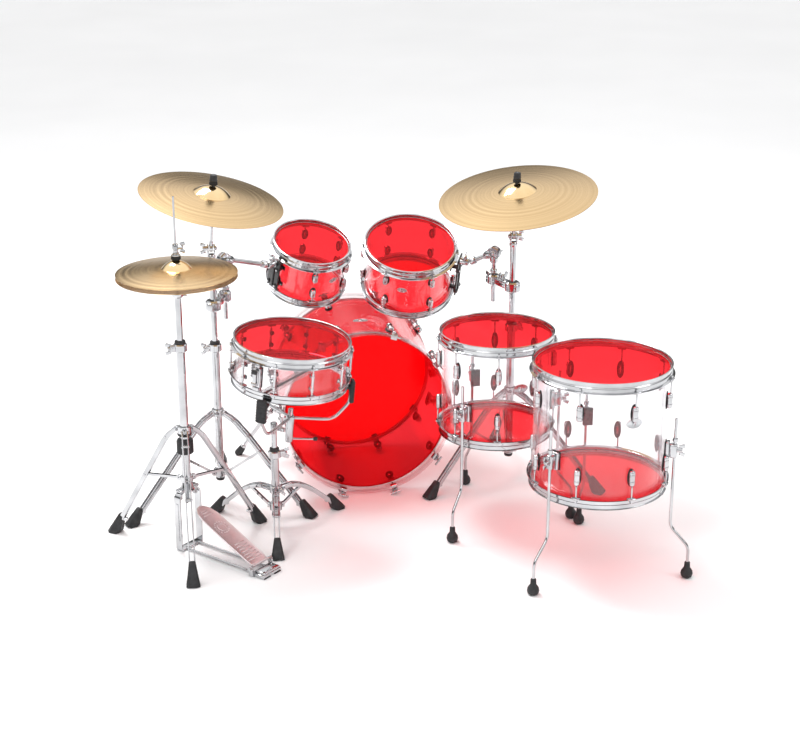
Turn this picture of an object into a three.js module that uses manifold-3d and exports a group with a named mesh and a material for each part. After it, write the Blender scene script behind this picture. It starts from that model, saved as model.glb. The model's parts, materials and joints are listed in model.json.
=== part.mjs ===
// An acoustic drum kit: a bass drum, two rack toms, two floor toms and a snare drum with clear acrylic
// shells and red heads, a hi-hat, a crash and a ride cymbal, and the four stands that carry them.
// Millimetres, +Z up. The bass drum's axis runs along Y, its batter side faces the drummer at -Y, and
// the drummer's right hand is at +X. At the end the kit is moved so that the origin lies on the floor
// at the middle of its outline.
import * as THREE from "three";
import { mergeVertices } from "three/addons/utils/BufferGeometryUtils.js";
import Module from "manifold-3d";

const wasm = await Module();
wasm.setup();

// ---- Driving dimensions ----------------------------------------------------------------------------

const GAP = 0.4; // between pieces that touch
const SET_IN = 5; // how far a lug or a bracket is let into its shell
const ROUND = 20; // sides of a drum or a cymbal
const TUBE = 10; // sides of a tube or a collar
const BAR = 6; // sides of a bar or a rod

// Drums: radius is the shell's, height is rim to rim, and rim is the middle of the batter hoop's top.
// The axis leans by the horizontal parts of its unit vector.
const BASS = { radius: 280, length: 406, centre: 293, hoopOuter: 292, hoopFace: 238, lugs: 10 };
const TOM_10 = { radius: 127, height: 190, rim: [-147, 73, 829], lean: [0.119, -0.341], lugs: 6, turn: 273 };
const TOM_12 = {
  radius: 152.4,
  height: 216,
  rim: [195, 58, 813],
  lean: [-0.007, -0.406],
  lugs: 6,
  turn: 290,
};
const FLOOR_14 = { radius: 177.8, height: 350, rim: [392, -459, 654], lean: [0, 0], lugs: 8, turn: 259.5 };
const FLOOR_16 = { radius: 203.2, height: 402, rim: [625, -871, 681], lean: [0, 0], lugs: 8, turn: 237 };
const SNARE = {
  radius: 177.8,
  height: 153,
  rim: [-275, -500, 676],
  lean: [0.084, -0.059],
  lugs: 10,
  turn: 249,
};

const SHELL_WALL = 6;
const HEAD_DROP = 10; // from the hoop's top edge down to the head
const HEAD_THICK = 1;
const HOOP_HEIGHT = 34;
const ROD_OUT = 12; // tension rods stand this far outside the shell
const ROD_RADIUS = 3;

// Suspension brackets of the rack toms: their turns round the shell and the place of the arm's socket.
const TOM_10_SOCKET = 213;
const TOM_12_SOCKET = 335;
const SOCKET_OUT = 58;
const SOCKET_Z = { tom_10: -42, tom_12: -30 };

const STRAINER = 231; // the snare's strainer round its shell

// Spurs of the bass drum: the angle of the bracket round the shell, and the foot from the pin.
const SPUR = { angle: -18, out: 44, forward: 112, foot: [118, 78], tube: 8 };

// Legs of the floor toms: a rod beside the shell that steps outwards near the floor.
const LEG = { radius: 5, bendHigh: 165, bendLow: 103, top: 520, out: 30, foot: 19 };
const FLOOR_14_LEGS = { step: 52, turns: [227, 100, 343.5] };
const FLOOR_16_LEGS = { step: 60, turns: [216, 84, 332] };

// Stands: at is the tube's place on the floor, legs are the directions of the feet.
const HIHAT = { at: [-627, -544], legs: [270, 148, 32], pedal: -45.5, tube: 14, rim: 917, top: 1155 };
const LEFT = { at: [-507, -207], legs: [207, 328, 87], tube: 14, tilter: 896, clampTurn: 65.6, elbow: 830 };
const RIGHT = { at: [510, -158], legs: [205, 325, 85], tube: 14, tilter: 880, clampTurn: 115, elbow: 797 };
const SNARE_STAND = { at: [-338, -439], legs: [266, 142, 26], tube: 13, hub: [-292, -487, 330] };
const CLAMP_REACH = 105; // from a stand's tube to the tom arm's rod
const CLAMP_HEIGHT = 702;
const ARM_ROD = 8.1; // radius of a tom arm's rod, free to turn in the clamp's bore
const BASKET_ARMS = [240, 0, 116];

// The hi-hat's pedal, along its own length from the tube's axis, and the frame that stands round it.
const PEDAL = { heel: 300, heelZ: 30, toe: 48, toeZ: 152, width: 76, thick: 5, frameOut: 46, frameTop: 210 };

// Tripods in the plane of one leg, as distance from the tube and height.
const PIN_OUT = 28; // from the tube's axis to the pins of a folding tripod
const HIHAT_TRIPOD = {
  collar: 405,
  strutLow: 237,
  path: [[28, 405], [66, 372], [150, 228], [260, 38]],
  foot: 276,
};
const STAND_TRIPOD = {
  collar: 325,
  strutLow: 108,
  path: [[22, 325], [61, 306], [113, 256], [156, 207], [320, 24]],
  foot: 338,
};
const SNARE_TRIPOD = {
  collar: 134,
  strutLow: 72,
  path: [[20, 134], [60, 137], [100, 124], [140, 98], [222, 26]],
  foot: 240,
};

// Cymbals: the rim's radius, the rise of the bow and of the bell, and how they lean.
const HAT = { radius: 185, bell: 46, bow: 14, rise: 24, thick: 1.2 };
const CRASH = { radius: 235, bell: 60, bow: 20, rise: 24, thick: 1.2, lean: [0.183, -0.132] };
const RIDE = { radius: 266.7, bell: 64, bow: 22, rise: 26, thick: 1.5, lean: [-0.147, -0.143] };
const CRASH_ROD = { length: 163, lean: [0.07, -0.06] }; // from the tilter's pivot to the middle of the rim
const RIDE_ROD = { length: 134, lean: [0.02, -0.07] };
const HAT_GAP = 12; // between the two hi-hat rims with the pedal up

// ---- Materials -------------------------------------------------------------------------------------

const steel = () => new THREE.MeshStandardMaterial({ color: 0xd9dade, roughness: 0.15, metalness: 1 });
const acrylic = () =>
  new THREE.MeshStandardMaterial({ color: 0xf4f6f8, roughness: 0.05, transparent: true, opacity: 0.35 });
const redFilm = () =>
  new THREE.MeshStandardMaterial({ color: 0xe0141c, roughness: 0.2, transparent: true, opacity: 0.7 });
const bronze = () => new THREE.MeshStandardMaterial({ color: 0xc9a35c, roughness: 0.3, metalness: 1 });

// ---- Shape helpers ---------------------------------------------------------------------------------

const rad = THREE.MathUtils.degToRad;
const vec = (x, y, z) => new THREE.Vector3(x, y, z);

// A closed geometry as a manifold-3d solid with its faces pointing out.
function solid(geometry, place = new THREE.Matrix4()) {
  const bare = new THREE.BufferGeometry();
  const flat = geometry.index ? geometry.toNonIndexed() : geometry;
  bare.setAttribute("position", flat.getAttribute("position").clone());
  bare.applyMatrix4(place);
  const merged = mergeVertices(bare, 1e-4);
  const make = (triVerts) =>
    new wasm.Manifold(
      new wasm.Mesh({ numProp: 3, vertProperties: merged.attributes.position.array, triVerts }),
    );
  const corners = new Uint32Array(merged.index.array);
  const made = make(corners);
  return made.volume() > 0 ? made : make(corners.toReversed());
}

const join = (...solids) => solids.flat(Infinity).reduce((all, next) => all.add(next));

function place(at, rotation = [0, 0, 0]) {
  const turned = new THREE.Matrix4().makeRotationFromEuler(new THREE.Euler(...rotation, "ZYX"));
  return turned.setPosition(vec(...at));
}

// The profile's [radius, height] points turned about Z.
function turned(profile, at = [0, 0, 0], sides = ROUND) {
  const points = profile.map(([r, z]) => new THREE.Vector2(r, z));
  return solid(new THREE.LatheGeometry(points, sides).rotateX(Math.PI / 2), place(at));
}

// A ring with a closed rectangular section.
const ring = (inner, outer, low, high, sides = ROUND) =>
  turned([[inner, low], [outer, low], [outer, high], [inner, high], [inner, low]], [0, 0, 0], sides);

// A round bar between two points.
function bar(from, to, radius, sides = BAR, radiusTo = radius) {
  const [a, b] = [vec(...from), vec(...to)];
  const along = b.clone().sub(a);
  const turn = new THREE.Quaternion().setFromUnitVectors(vec(0, 1, 0), along.clone().normalize());
  const shape = new THREE.CylinderGeometry(radiusTo, radius, along.length(), sides);
  return solid(shape, new THREE.Matrix4().compose(a.add(b).divideScalar(2), turn, vec(1, 1, 1)));
}

const block = (size, at, rotation) => solid(new THREE.BoxGeometry(...size), place(at, rotation));

const ball = (radius, at) => solid(new THREE.SphereGeometry(radius, BAR, 4), place(at));

// A round bar through several points, each length running a little past the bends.
function bent(points, radius) {
  const lengths = points.slice(1).map((to, i) => {
    const [a, b] = [vec(...points[i]), vec(...to)];
    const past = b.clone().sub(a).setLength(radius * 0.5);
    const start = i > 0 ? a.sub(past) : a;
    const end = i < points.length - 2 ? b.add(past) : b;
    return bar(start.toArray(), end.toArray(), radius);
  });
  return join(lengths);
}

// A flat bar in the XZ plane along [x, z] points, width across and thick along Y, centred on y.
function strip(points, width, thick, y) {
  const at = points.map(([x, z]) => new THREE.Vector2(x, z));
  const side = (i) => {
    const before = at[Math.max(i - 1, 0)];
    const after = at[Math.min(i + 1, at.length - 1)];
    const along = after.clone().sub(before).normalize();
    return new THREE.Vector2(-along.y, along.x).multiplyScalar(width / 2);
  };
  const left = at.map((p, i) => p.clone().add(side(i)));
  const right = at.map((p, i) => p.clone().sub(side(i)));
  const outline = new THREE.Shape([...left, ...right.reverse()]);
  const flat = new THREE.ExtrudeGeometry(outline, { depth: thick, bevelEnabled: false });
  return solid(flat.rotateX(Math.PI / 2), place([0, y + thick / 2, 0]));
}

const spin = (shape, degrees) => shape.rotate([0, 0, degrees]);

// The middle of a direction and a distance in the XY plane.
const polar = (distance, degrees, z = 0) => [
  distance * Math.cos(rad(degrees)),
  distance * Math.sin(rad(degrees)),
  z,
];

function node(parent, name, shape, material) {
  const { vertProperties, triVerts, numProp } = shape.getMesh();
  const geometry = new THREE.BufferGeometry();
  const positions = new Float32Array((vertProperties.length / numProp) * 3);
  for (let i = 0; i * numProp < vertProperties.length; i++)
    positions.set(vertProperties.subarray(i * numProp, i * numProp + 3), i * 3);
  geometry.setAttribute("position", new THREE.BufferAttribute(positions, 3));
  geometry.setIndex(new THREE.BufferAttribute(triVerts, 1));
  geometry.computeVertexNormals();
  const mesh = new THREE.Mesh(geometry, material);
  mesh.name = name;
  parent.add(mesh);
}

// The unit vector that leans from upright by the given parts along X and Y.
const upright = ([x, y]) => vec(x, y, Math.sqrt(1 - x ** 2 - y ** 2));

function frame(parent, name, at = [0, 0, 0], lean = [0, 0]) {
  const group = new THREE.Group();
  group.name = name;
  group.position.set(...at);
  group.quaternion.setFromUnitVectors(vec(0, 0, 1), upright(lean));
  parent.add(group);
  return group;
}

// ---- Drums -----------------------------------------------------------------------------------------

// A pressed steel hoop hung over the shell's top edge, with its tension rods down to the lugs.
function hoop(drum, rodLength) {
  const r = drum.radius;
  const wall = turned([
    [r + 3.5, 0],
    [r + 3.5, -HOOP_HEIGHT],
    [r + 13, -HOOP_HEIGHT],
    [r + 13, -HOOP_HEIGHT + 4],
    [r + 6.5, -HOOP_HEIGHT + 4],
    [r + 6.5, 0],
    [r + 3.5, 0],
  ]);
  const rods = lugAngles(drum).map((a) =>
    bar(polar(r + ROD_OUT, a, -HOOP_HEIGHT + 2), polar(r + ROD_OUT, a, -rodLength), ROD_RADIUS, 4),
  );
  return join(wall, rods);
}

const lugAngles = (drum) => Array.from({ length: drum.lugs }, (_, i) => drum.turn + (i * 360) / drum.lugs);

// A film head with the flesh hoop that grips the outside of the shell.
function head(drum, collarOut = 3.1) {
  const r = drum.radius;
  return turned([
    [0, -HEAD_DROP],
    [0, -HEAD_DROP + HEAD_THICK],
    [r + collarOut, -HEAD_DROP + HEAD_THICK],
    [r + collarOut, -HEAD_DROP - 12],
    [r + GAP, -HEAD_DROP - 12],
    [r + GAP, -HEAD_DROP],
    [0, -HEAD_DROP],
  ]);
}

// The same shape upside down at the other end of the drum.
const atBottom = (drum, shape) => shape.mirror([0, 0, 1]).translate([0, 0, -drum.height]);

function shell(drum, lugs) {
  const low = -drum.height + HEAD_DROP + GAP;
  return join(ring(drum.radius - SHELL_WALL, drum.radius, low, -HEAD_DROP - GAP), lugs);
}

// A rounded lug of the given length, standing off the shell, with its middle at height z.
function lug(drum, angle, z, length, reach = 20) {
  const barrel = solid(new THREE.CylinderGeometry(8, 8, length, 4).rotateX(Math.PI / 2));
  const body = barrel.scale([reach / 16, 1, 1]).translate([drum.radius + reach / 2 - SET_IN, 0, z]);
  return spin(body, angle);
}

// A shell with two rows of lugs, its two heads and its two hoops.
function drumNodes(parent, name, drum, lugLength, lugIn, extras = []) {
  const rodLength = lugIn - GAP;
  const rows = [-lugIn - lugLength / 2, -drum.height + lugIn + lugLength / 2];
  const lugs = lugAngles(drum).flatMap((a) => rows.map((z) => lug(drum, a, z, lugLength)));
  node(parent, name + "_shell", shell(drum, [...lugs, ...extras]), acrylic());
  node(parent, name + "_batter_head", head(drum), redFilm());
  node(parent, name + "_batter_hoop", hoop(drum, rodLength), steel());
  const under = join(head(drum, 4.5), hoop(drum, rodLength));
  node(parent, name + "_bottom_head", atBottom(drum, under), redFilm());
}

// A black suspension bracket bolted to the shell's side, with a socket for the tom arm.
function suspension(drum, angle, socketZ) {
  const r = drum.radius;
  const [high, low] = [socketZ + 14, -drum.height + 46];
  const plate = block([10, 56, high - low], [r + 27, 0, (high + low) / 2]);
  const ties = [-62, -drum.height + 62].map((z) => block([34, 44, 12], [r + 14, 0, z]));
  const socket = bar([r + 30, 0, socketZ], [r + 56, 0, socketZ], 14, 8);
  return spin(join(plate, ties, socket), angle);
}

function bassDrum(kit) {
  const r = BASS.radius;
  const half = BASS.length / 2;
  const centre = frame(kit, "bass_drum", [0, 0, BASS.centre]);
  // Built about Z, batter side up, and then laid over so that the batter side faces -Y.
  const lay = (shape) => shape.rotate([90, 0, 0]);
  const angles = Array.from({ length: BASS.lugs }, (_, i) => (i * 360) / BASS.lugs);
  const lugs = angles.flatMap((a) =>
    [-1, 1].map((side) => {
      const barrel = bar([0, 0, -22], [0, 0, 22], 12, 4);
      return spin(barrel.translate([r + 12 - SET_IN, 0, side * (half - 62)]), a);
    }),
  );
  // Spur brackets sit between two lugs, below the middle, near the front.
  const brackets = [SPUR.angle, 180 - SPUR.angle].map((a) =>
    spin(block([SPUR.out - 9, 34, 40], [r + (SPUR.out - 9) / 2 - SET_IN, 0, -SPUR.forward]), -a),
  );
  node(centre, "bass_shell", lay(join(ring(r - SHELL_WALL, r, -half, half), lugs, brackets)), acrylic());
  for (const [side, name] of [[1, "batter"], [-1, "front"]]) {
    const flip = (shape) => (side > 0 ? shape : shape.mirror([0, 0, 1]));
    const film = turned([
      [0, half + GAP],
      [0, half + GAP + HEAD_THICK],
      [r + 4.6, half + GAP + HEAD_THICK],
      [r + 4.6, half - 12],
      [r + GAP, half - 12],
      [r + GAP, half + GAP],
      [0, half + GAP],
    ]);
    const face = BASS.hoopFace;
    const claws = angles.map((a) => {
      const hook = block([14, 22, 34], [BASS.hoopOuter + 3, 0, face - 15]);
      const out = BASS.hoopOuter + 5.5;
      const rod = bar([out, 0, face - 30], [out, 0, half - 40 + GAP], ROD_RADIUS, 4);
      return spin(join(hook, rod), a);
    });
    const band = ring(r + (side > 0 ? 5 : 4), BASS.hoopOuter, half - 6, face);
    const clamped = join(band, claws);
    // The front head and its hoop are one solid, and the batter side's are two.
    if (side > 0) node(centre, "bass_batter_hoop", lay(clamped), acrylic());
    node(centre, `bass_${name}_head`, lay(flip(side > 0 ? film : join(film, clamped))), redFilm());
  }
}

// Spurs: each turns on a pin at its bracket on the shell.
function spurs(kit) {
  for (const [side, name] of [[-1, "left"], [1, "right"]]) {
    const reach = BASS.radius + SPUR.out;
    const x = side * reach * Math.cos(rad(SPUR.angle));
    const z = BASS.centre + reach * Math.sin(rad(SPUR.angle));
    const pivot = frame(kit, `spur_${name}_pivot`, [x, SPUR.forward, z]);
    const foot = [side * SPUR.foot[0], SPUR.foot[1], -z];
    const start = vec(...foot).multiplyScalar(0.02).toArray();
    const near = vec(...foot).multiplyScalar(0.82).toArray();
    const leg = bar(start, near, SPUR.tube);
    const tip = bar(near, vec(...foot).multiplyScalar(1.02).toArray(), 12, 8, 16);
    const eye = ball(13, [0, 0, 0]);
    const below = block([300, 300, 60], [0, 0, -z - 30]);
    node(pivot, `bass_spur_${name}`, join(leg, tip, eye).subtract(below), steel());
  }
}

// A leg clamp on a floor tom's shell, with a hole for the leg's rod.
function legClamp(drum, angle) {
  const r = drum.radius;
  const z = -drum.height * 0.66;
  const body = block([LEG.out + 15, 30, 56], [r + (LEG.out + 15) / 2 - SET_IN, 0, z]);
  const wing = block([8, 36, 14], [r + LEG.out + 14, 0, z + 10]);
  const hole = bar([r + LEG.out, 0, z - 60], [r + LEG.out, 0, z + 60], 1.25 * LEG.radius);
  return spin(join(body, wing).subtract(hole), angle);
}

function floorTom(kit, name, drum, { step, turns }) {
  const top = frame(kit, name, drum.rim);
  const clamps = turns.map((a) => legClamp(drum, a));
  drumNodes(top, name, drum, 50, 74, clamps);
  turns.forEach((a, i) => {
    const at = (out, z) => polar(drum.radius + LEG.out + out, a, z - drum.rim[2]);
    const rod = bent(
      [at(0, LEG.top), at(0, LEG.bendHigh), at(step, LEG.bendLow), at(step, 20)],
      LEG.radius,
    );
    const foot = turned([[0, 0], [13, 0], [LEG.foot, 14], [LEG.foot, 22], [9, 52], [0, 52]], at(step, 0), 8);
    node(top, `${name}_leg_${i + 1}`, join(rod, foot), steel());
  });
}

// ---- Stands ----------------------------------------------------------------------------------------

// One folding leg: two rails side by side, a web between them and a rubber foot cut level with the floor.
function tripodLeg(tripod) {
  const { path, foot } = tripod;
  const rails = [-7, 7].map((y) => strip(path, 11, 3, y));
  const [x, z] = path.at(-1);
  const tip = [foot + 8, 0, -14];
  const rubber = bar([x - (foot - x) * 0.75, 0, z + 30], tip, 12, BAR, 25);
  const floor = block([200, 120, 60], [foot, 0, -30]);
  return join(rails, rubber).subtract(floor);
}

// One strut between a leg's rails, ending short of its pivot there.
function tripodStrut(tripod, joint) {
  const [x, z] = tripod.path[joint];
  const low = [PIN_OUT, tripod.strutLow];
  const end = [x - 3, z];
  return strip([low, end], 9, 5, 0);
}

// A collar round a tube, with an ear for each leg.
function collar(tube, height, legs, span = 24) {
  const body = ring(tube + GAP, tube + 7, height - span / 2, height + span / 2, TUBE);
  const ears = legs.map((a) => spin(block([16, 7, 14], [PIN_OUT - 2, 0, height]), a));
  return join(body, ears);
}

// A fixed tripod: collars, legs and struts joined to the stand's lower tube.
function tripodBase(stand, tripod, joint, low, high) {
  const tube = ring(stand.tube - 3, stand.tube, low, high, TUBE);
  const hubs = [tripod.collar, tripod.strutLow].map((z) => ring(stand.tube - 1, 25, z - 12, z + 12, TUBE));
  const legs = stand.legs.flatMap((a) => [
    spin(tripodLeg(tripod), a),
    spin(strip([[20, tripod.strutLow], tripod.path[joint]], 9, 12.4, 0), a),
  ]);
  return join(tube, hubs, legs);
}

// A height clamp at the top of a tube, with its wing screw.
function heightClamp(tube, z, turn) {
  const body = ring(tube - 1, tube + 8, z - 16, z + 12, TUBE);
  const screw = bar([tube + 4, 0, z], [tube + 26, 0, z], 5);
  const wing = block([5, 34, 12], [tube + 24, 0, z]);
  return join(body, spin(join(screw, wing), turn));
}

// The two halves of a clamp that holds a tom arm beside a stand's tube.
function multiClamp(stand) {
  const z = CLAMP_HEIGHT;
  const grip = ring(stand.tube - 5, stand.tube + 12, z - 18, z + 18, TUBE);
  const arm = block([CLAMP_REACH - 36, 30, 30], [CLAMP_REACH / 2, 0, z]);
  const socket = ring(9, 22, z - 18, z + 18, TUBE).translate([CLAMP_REACH, 0, 0]);
  const wing = block([26, 6, 12], [CLAMP_REACH + 33, 0, z]);
  return spin(join(grip, arm, socket, wing), stand.clampTurn);
}

function cymbal(dish, hole = 6.5) {
  const { radius, bell, bow, rise, thick } = dish;
  const lower = [
    [radius, 0],
    [radius * 0.62, bow * 0.5],
    [bell, bow],
    [bell * 0.6, bow + rise * 0.7],
    [hole, bow + rise],
  ];
  const upper = lower.map(([r, z]) => [r, z + thick]).reverse();
  return turned([...lower, ...upper, lower[0]]);
}

function cymbalStand(kit, side, stand, dish, rod, cymbalName, tom, tomName, socketTurn) {
  const base = frame(kit, `${side}_stand`, [...stand.at, 0]);
  const lower = tripodBase(stand, STAND_TRIPOD, 3, 83, 560);
  node(base, `${side}_stand_base`, join(lower, heightClamp(stand.tube, 563, 195)), steel());

  // The upper tube slides in the lower one and ends in the fork of the tilter.
  const inner = stand.tube - 3 - GAP;
  const tube = bar([0, 0, 400], [0, 0, stand.tilter - 24], inner, TUBE);
  const fork = block([28, 20, 14], [0, 0, stand.tilter - 26]);
  const ears = [-11, 11].map((x) => block([6, 20, 42], [x, 0, stand.tilter - 12]));
  node(base, `${side}_stand_upper_tube`, join(tube, multiClamp(stand), fork, ears), steel());

  // The tilter's rod carries the cymbal between two felts on a sleeve.
  const pivot = frame(base, `${side}_tilter_pivot`, [0, 0, stand.tilter], rod.lean);
  const reach = rod.length + dish.bow + dish.rise;
  const tilter = join(
    block([12, 18, 24], [0, 0, 2]),
    bar([0, 0, 10], [0, 0, reach + 42], 4.5),
    bar([0, 0, reach - 20], [0, 0, reach - 7], 15, 8),
    bar([0, 0, reach + 6], [0, 0, reach + 40], 13, 8),
  );
  node(pivot, `${side}_stand_tilter`, tilter, steel());
  const crown = upright(rod.lean).multiplyScalar(reach).add(vec(0, 0, stand.tilter));
  const rim = crown.sub(upright(dish.lean).multiplyScalar(dish.bow + dish.rise)).toArray();
  node(frame(base, cymbalName + "_axis", rim, dish.lean), cymbalName, cymbal(dish), bronze());

  // The tom arm: a rod in the clamp, an elbow, and a bar that the tom's bracket turns on.
  const [x, y] = polar(CLAMP_REACH, stand.clampTurn);
  const foot = frame(base, `${side}_arm_pivot`, [x, y, stand.elbow]);
  const socket = tomSocket(tom, tomName, socketTurn);
  const away = vec(...socket).sub(vec(stand.at[0] + x, stand.at[1] + y, stand.elbow));
  const end = away.clone().multiplyScalar(1 - 6 / away.length());
  const arm = join(
    bar([0, 0, 620 - stand.elbow], [0, 0, 0], ARM_ROD, TUBE),
    ball(24, [0, 0, 0]),
    bar([0, 0, 0], end.toArray(), 8.5, 8),
  );
  node(foot, `${side}_tom_arm`, arm, steel());
  return away;
}

// Where a tom arm meets the tom's bracket, in the kit's frame.
function tomSocket(tom, name, turn) {
  const top = frame(new THREE.Group(), "probe", tom.rim, tom.lean);
  top.updateMatrixWorld(true);
  return vec(...polar(tom.radius + SOCKET_OUT, turn, SOCKET_Z[name])).applyMatrix4(top.matrixWorld).toArray();
}

function rackTom(kit, name, tom, turn) {
  const top = frame(kit, name, tom.rim, tom.lean);
  drumNodes(top, name, tom, 34, 46, [suspension(tom, turn, SOCKET_Z[name])]);
}

// ---- Hi-hat ----------------------------------------------------------------------------------------

function hihat(kit) {
  const base = frame(kit, "hihat_stand", [...HIHAT.at, 0]);
  const t = HIHAT_TRIPOD;
  const tube = ring(HIHAT.tube - 3, HIHAT.tube, 200, 690, TUBE);
  const lowHub = ring(HIHAT.tube - 1, 22, t.strutLow - 10, t.strutLow + 10, TUBE);
  const lowEars = HIHAT.legs.map((a) => spin(block([16, 3, 12], [PIN_OUT - 4, 6, t.strutLow]), a));
  const knob = ring(HIHAT.tube - 1, 27, 326, 372, TUBE);
  // A frame with two uprights stands on the floor round the pull rod, and two rails run to the heel plate.
  const uprightAt = (s) => [0, s * PEDAL.frameOut, PEDAL.frameTop / 2];
  const uprights = [-1, 1].map((s) => block([30, 4, PEDAL.frameTop], uprightAt(s)));
  const bridge = block([30, 2 * PEDAL.frameOut, 10], [0, 0, PEDAL.frameTop - 5]);
  const passage = bar([0, 0, PEDAL.frameTop - 30], [0, 0, PEDAL.frameTop + 4], HIHAT.tube - 3, TUBE);
  const sole = block([30, 2 * PEDAL.frameOut, 8], [0, 0, 4]);
  const rails = [-28, 28].map((y) => block([PEDAL.heel + 10, 8, 8], [PEDAL.heel / 2 + 5, y, 4]));
  const heel = block([46, 84, 22], [PEDAL.heel + 27, 0, 11]);
  const pedalFrame = spin(join(uprights, bridge, sole, rails, heel), HIHAT.pedal);
  const clamp = heightClamp(HIHAT.tube, 682, 200);
  const stand = join(tube, lowHub, lowEars, knob, pedalFrame, clamp).subtract(passage);
  node(base, "hihat_stand_base", stand, steel());

  const innerTube = ring(6, HIHAT.tube - 3 - GAP, 450, 846, TUBE);
  const seat = ring(6, 19, 842, 852, TUBE);
  const seatFelt = ring(6, 15, 851, 861, TUBE);
  node(base, "hihat_upper_tube", join(innerTube, seat, seatFelt), steel());

  // The pull rod ends in the pedal's chain. The clutch on it holds the top cymbal between two felts.
  const crown = HIHAT.rim + HAT.bow + HAT.rise;
  const chain = block([8, 12, 34], [0, 0, 172]);
  node(base, "hihat_pull_rod", join(bar([0, 0, 186], [0, 0, HIHAT.top], 3), chain), steel());
  const clutch = join(
    ring(4.2, 10, crown + 14, crown + 52, 8),
    ring(4.2, 15, crown + 3, crown + 16, 8),
    ring(4.2, 5.8, crown - 8, crown + 6, 8),
    ring(4.2, 13, crown - 20, crown - 6, 8),
    spin(block([22, 5, 14], [20, 0, crown + 40]), -20),
  );
  node(base, "hihat_clutch", clutch, steel());
  const bottomRim = HIHAT.rim - HAT_GAP;
  node(frame(base, "top_hat", [0, 0, HIHAT.rim]), "hihat_top_cymbal", cymbal(HAT), bronze());
  const bottom = cymbal(HAT, 8).mirror([0, 0, 1]);
  node(frame(base, "bottom_hat", [0, 0, bottomRim]), "hihat_bottom_cymbal", bottom, bronze());

  const [x, y] = polar(PEDAL.heel, HIHAT.pedal);
  const heelPin = frame(base, "pedal_pivot", [x, y, PEDAL.heelZ]);
  const run = PEDAL.heel - PEDAL.toe;
  const board = strip([[0, 0], [-run, PEDAL.toeZ - PEDAL.heelZ]], PEDAL.thick, PEDAL.width, 0);
  node(heelPin, "hihat_footboard", spin(board, HIHAT.pedal), steel());

  // The tripod folds: its collar slides up the tube and the legs and struts turn on their pins.
  const collarAt = frame(base, "leg_collar_slide");
  node(collarAt, "hihat_leg_collar", collar(HIHAT.tube, t.collar, HIHAT.legs), steel());
  HIHAT.legs.forEach((a, i) => {
    const legPin = frame(base, `leg_${i + 1}_pivot`, polar(t.path[0][0], a, t.path[0][1]));
    const strutPin = frame(base, `strut_${i + 1}_pivot`, polar(PIN_OUT, a, t.strutLow));
    const out = (shape, pin) => spin(shape, a).translate(pin.position.clone().negate().toArray());
    node(legPin, `hihat_leg_${i + 1}`, out(tripodLeg(t), legPin), steel());
    node(strutPin, `hihat_strut_${i + 1}`, out(tripodStrut(t, 2), strutPin), steel());
  });
}

// ---- Snare and its stand ---------------------------------------------------------------------------

function snare(kit) {
  const top = frame(kit, "snare", SNARE.rim, SNARE.lean);
  const posts = lugAngles(SNARE).map((a) => lug(SNARE, a, -SNARE.height / 2, SNARE.height - 92, 17));
  // The strainer stands on the shell with its lever beside it; the butt plate is opposite.
  const z = -SNARE.height / 2;
  const strainer = spin(block([22, 24, 66], [SNARE.radius + 10, 0, z]), STRAINER);
  const butt = spin(block([14, 24, 34], [SNARE.radius + 6, 0, z - 10]), STRAINER + 180);
  node(top, "snare_shell", shell(SNARE, [...posts, strainer, butt]), acrylic());
  node(top, "snare_batter_head", head(SNARE), redFilm());
  node(top, "snare_batter_hoop", hoop(SNARE, 46 - GAP), steel());
  const wires = block([320, 40, 1.5], [0, 0, -HEAD_DROP + HEAD_THICK + 0.6]);
  const under = join(head(SNARE, 4.5), hoop(SNARE, 46 - GAP), spin(wires, -STRAINER));
  node(top, "snare_bottom_head", atBottom(SNARE, under), redFilm());
  const out = SNARE.radius + 26;
  const pin = frame(top, "throw_off_pivot", polar(out, STRAINER, z - 18));
  const lever = join(block([8, 14, 46], [0, 0, 23]), block([12, 18, 12], [2, 0, 40]));
  node(pin, "snare_throw_off_lever", spin(lever, STRAINER), steel());
}

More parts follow.
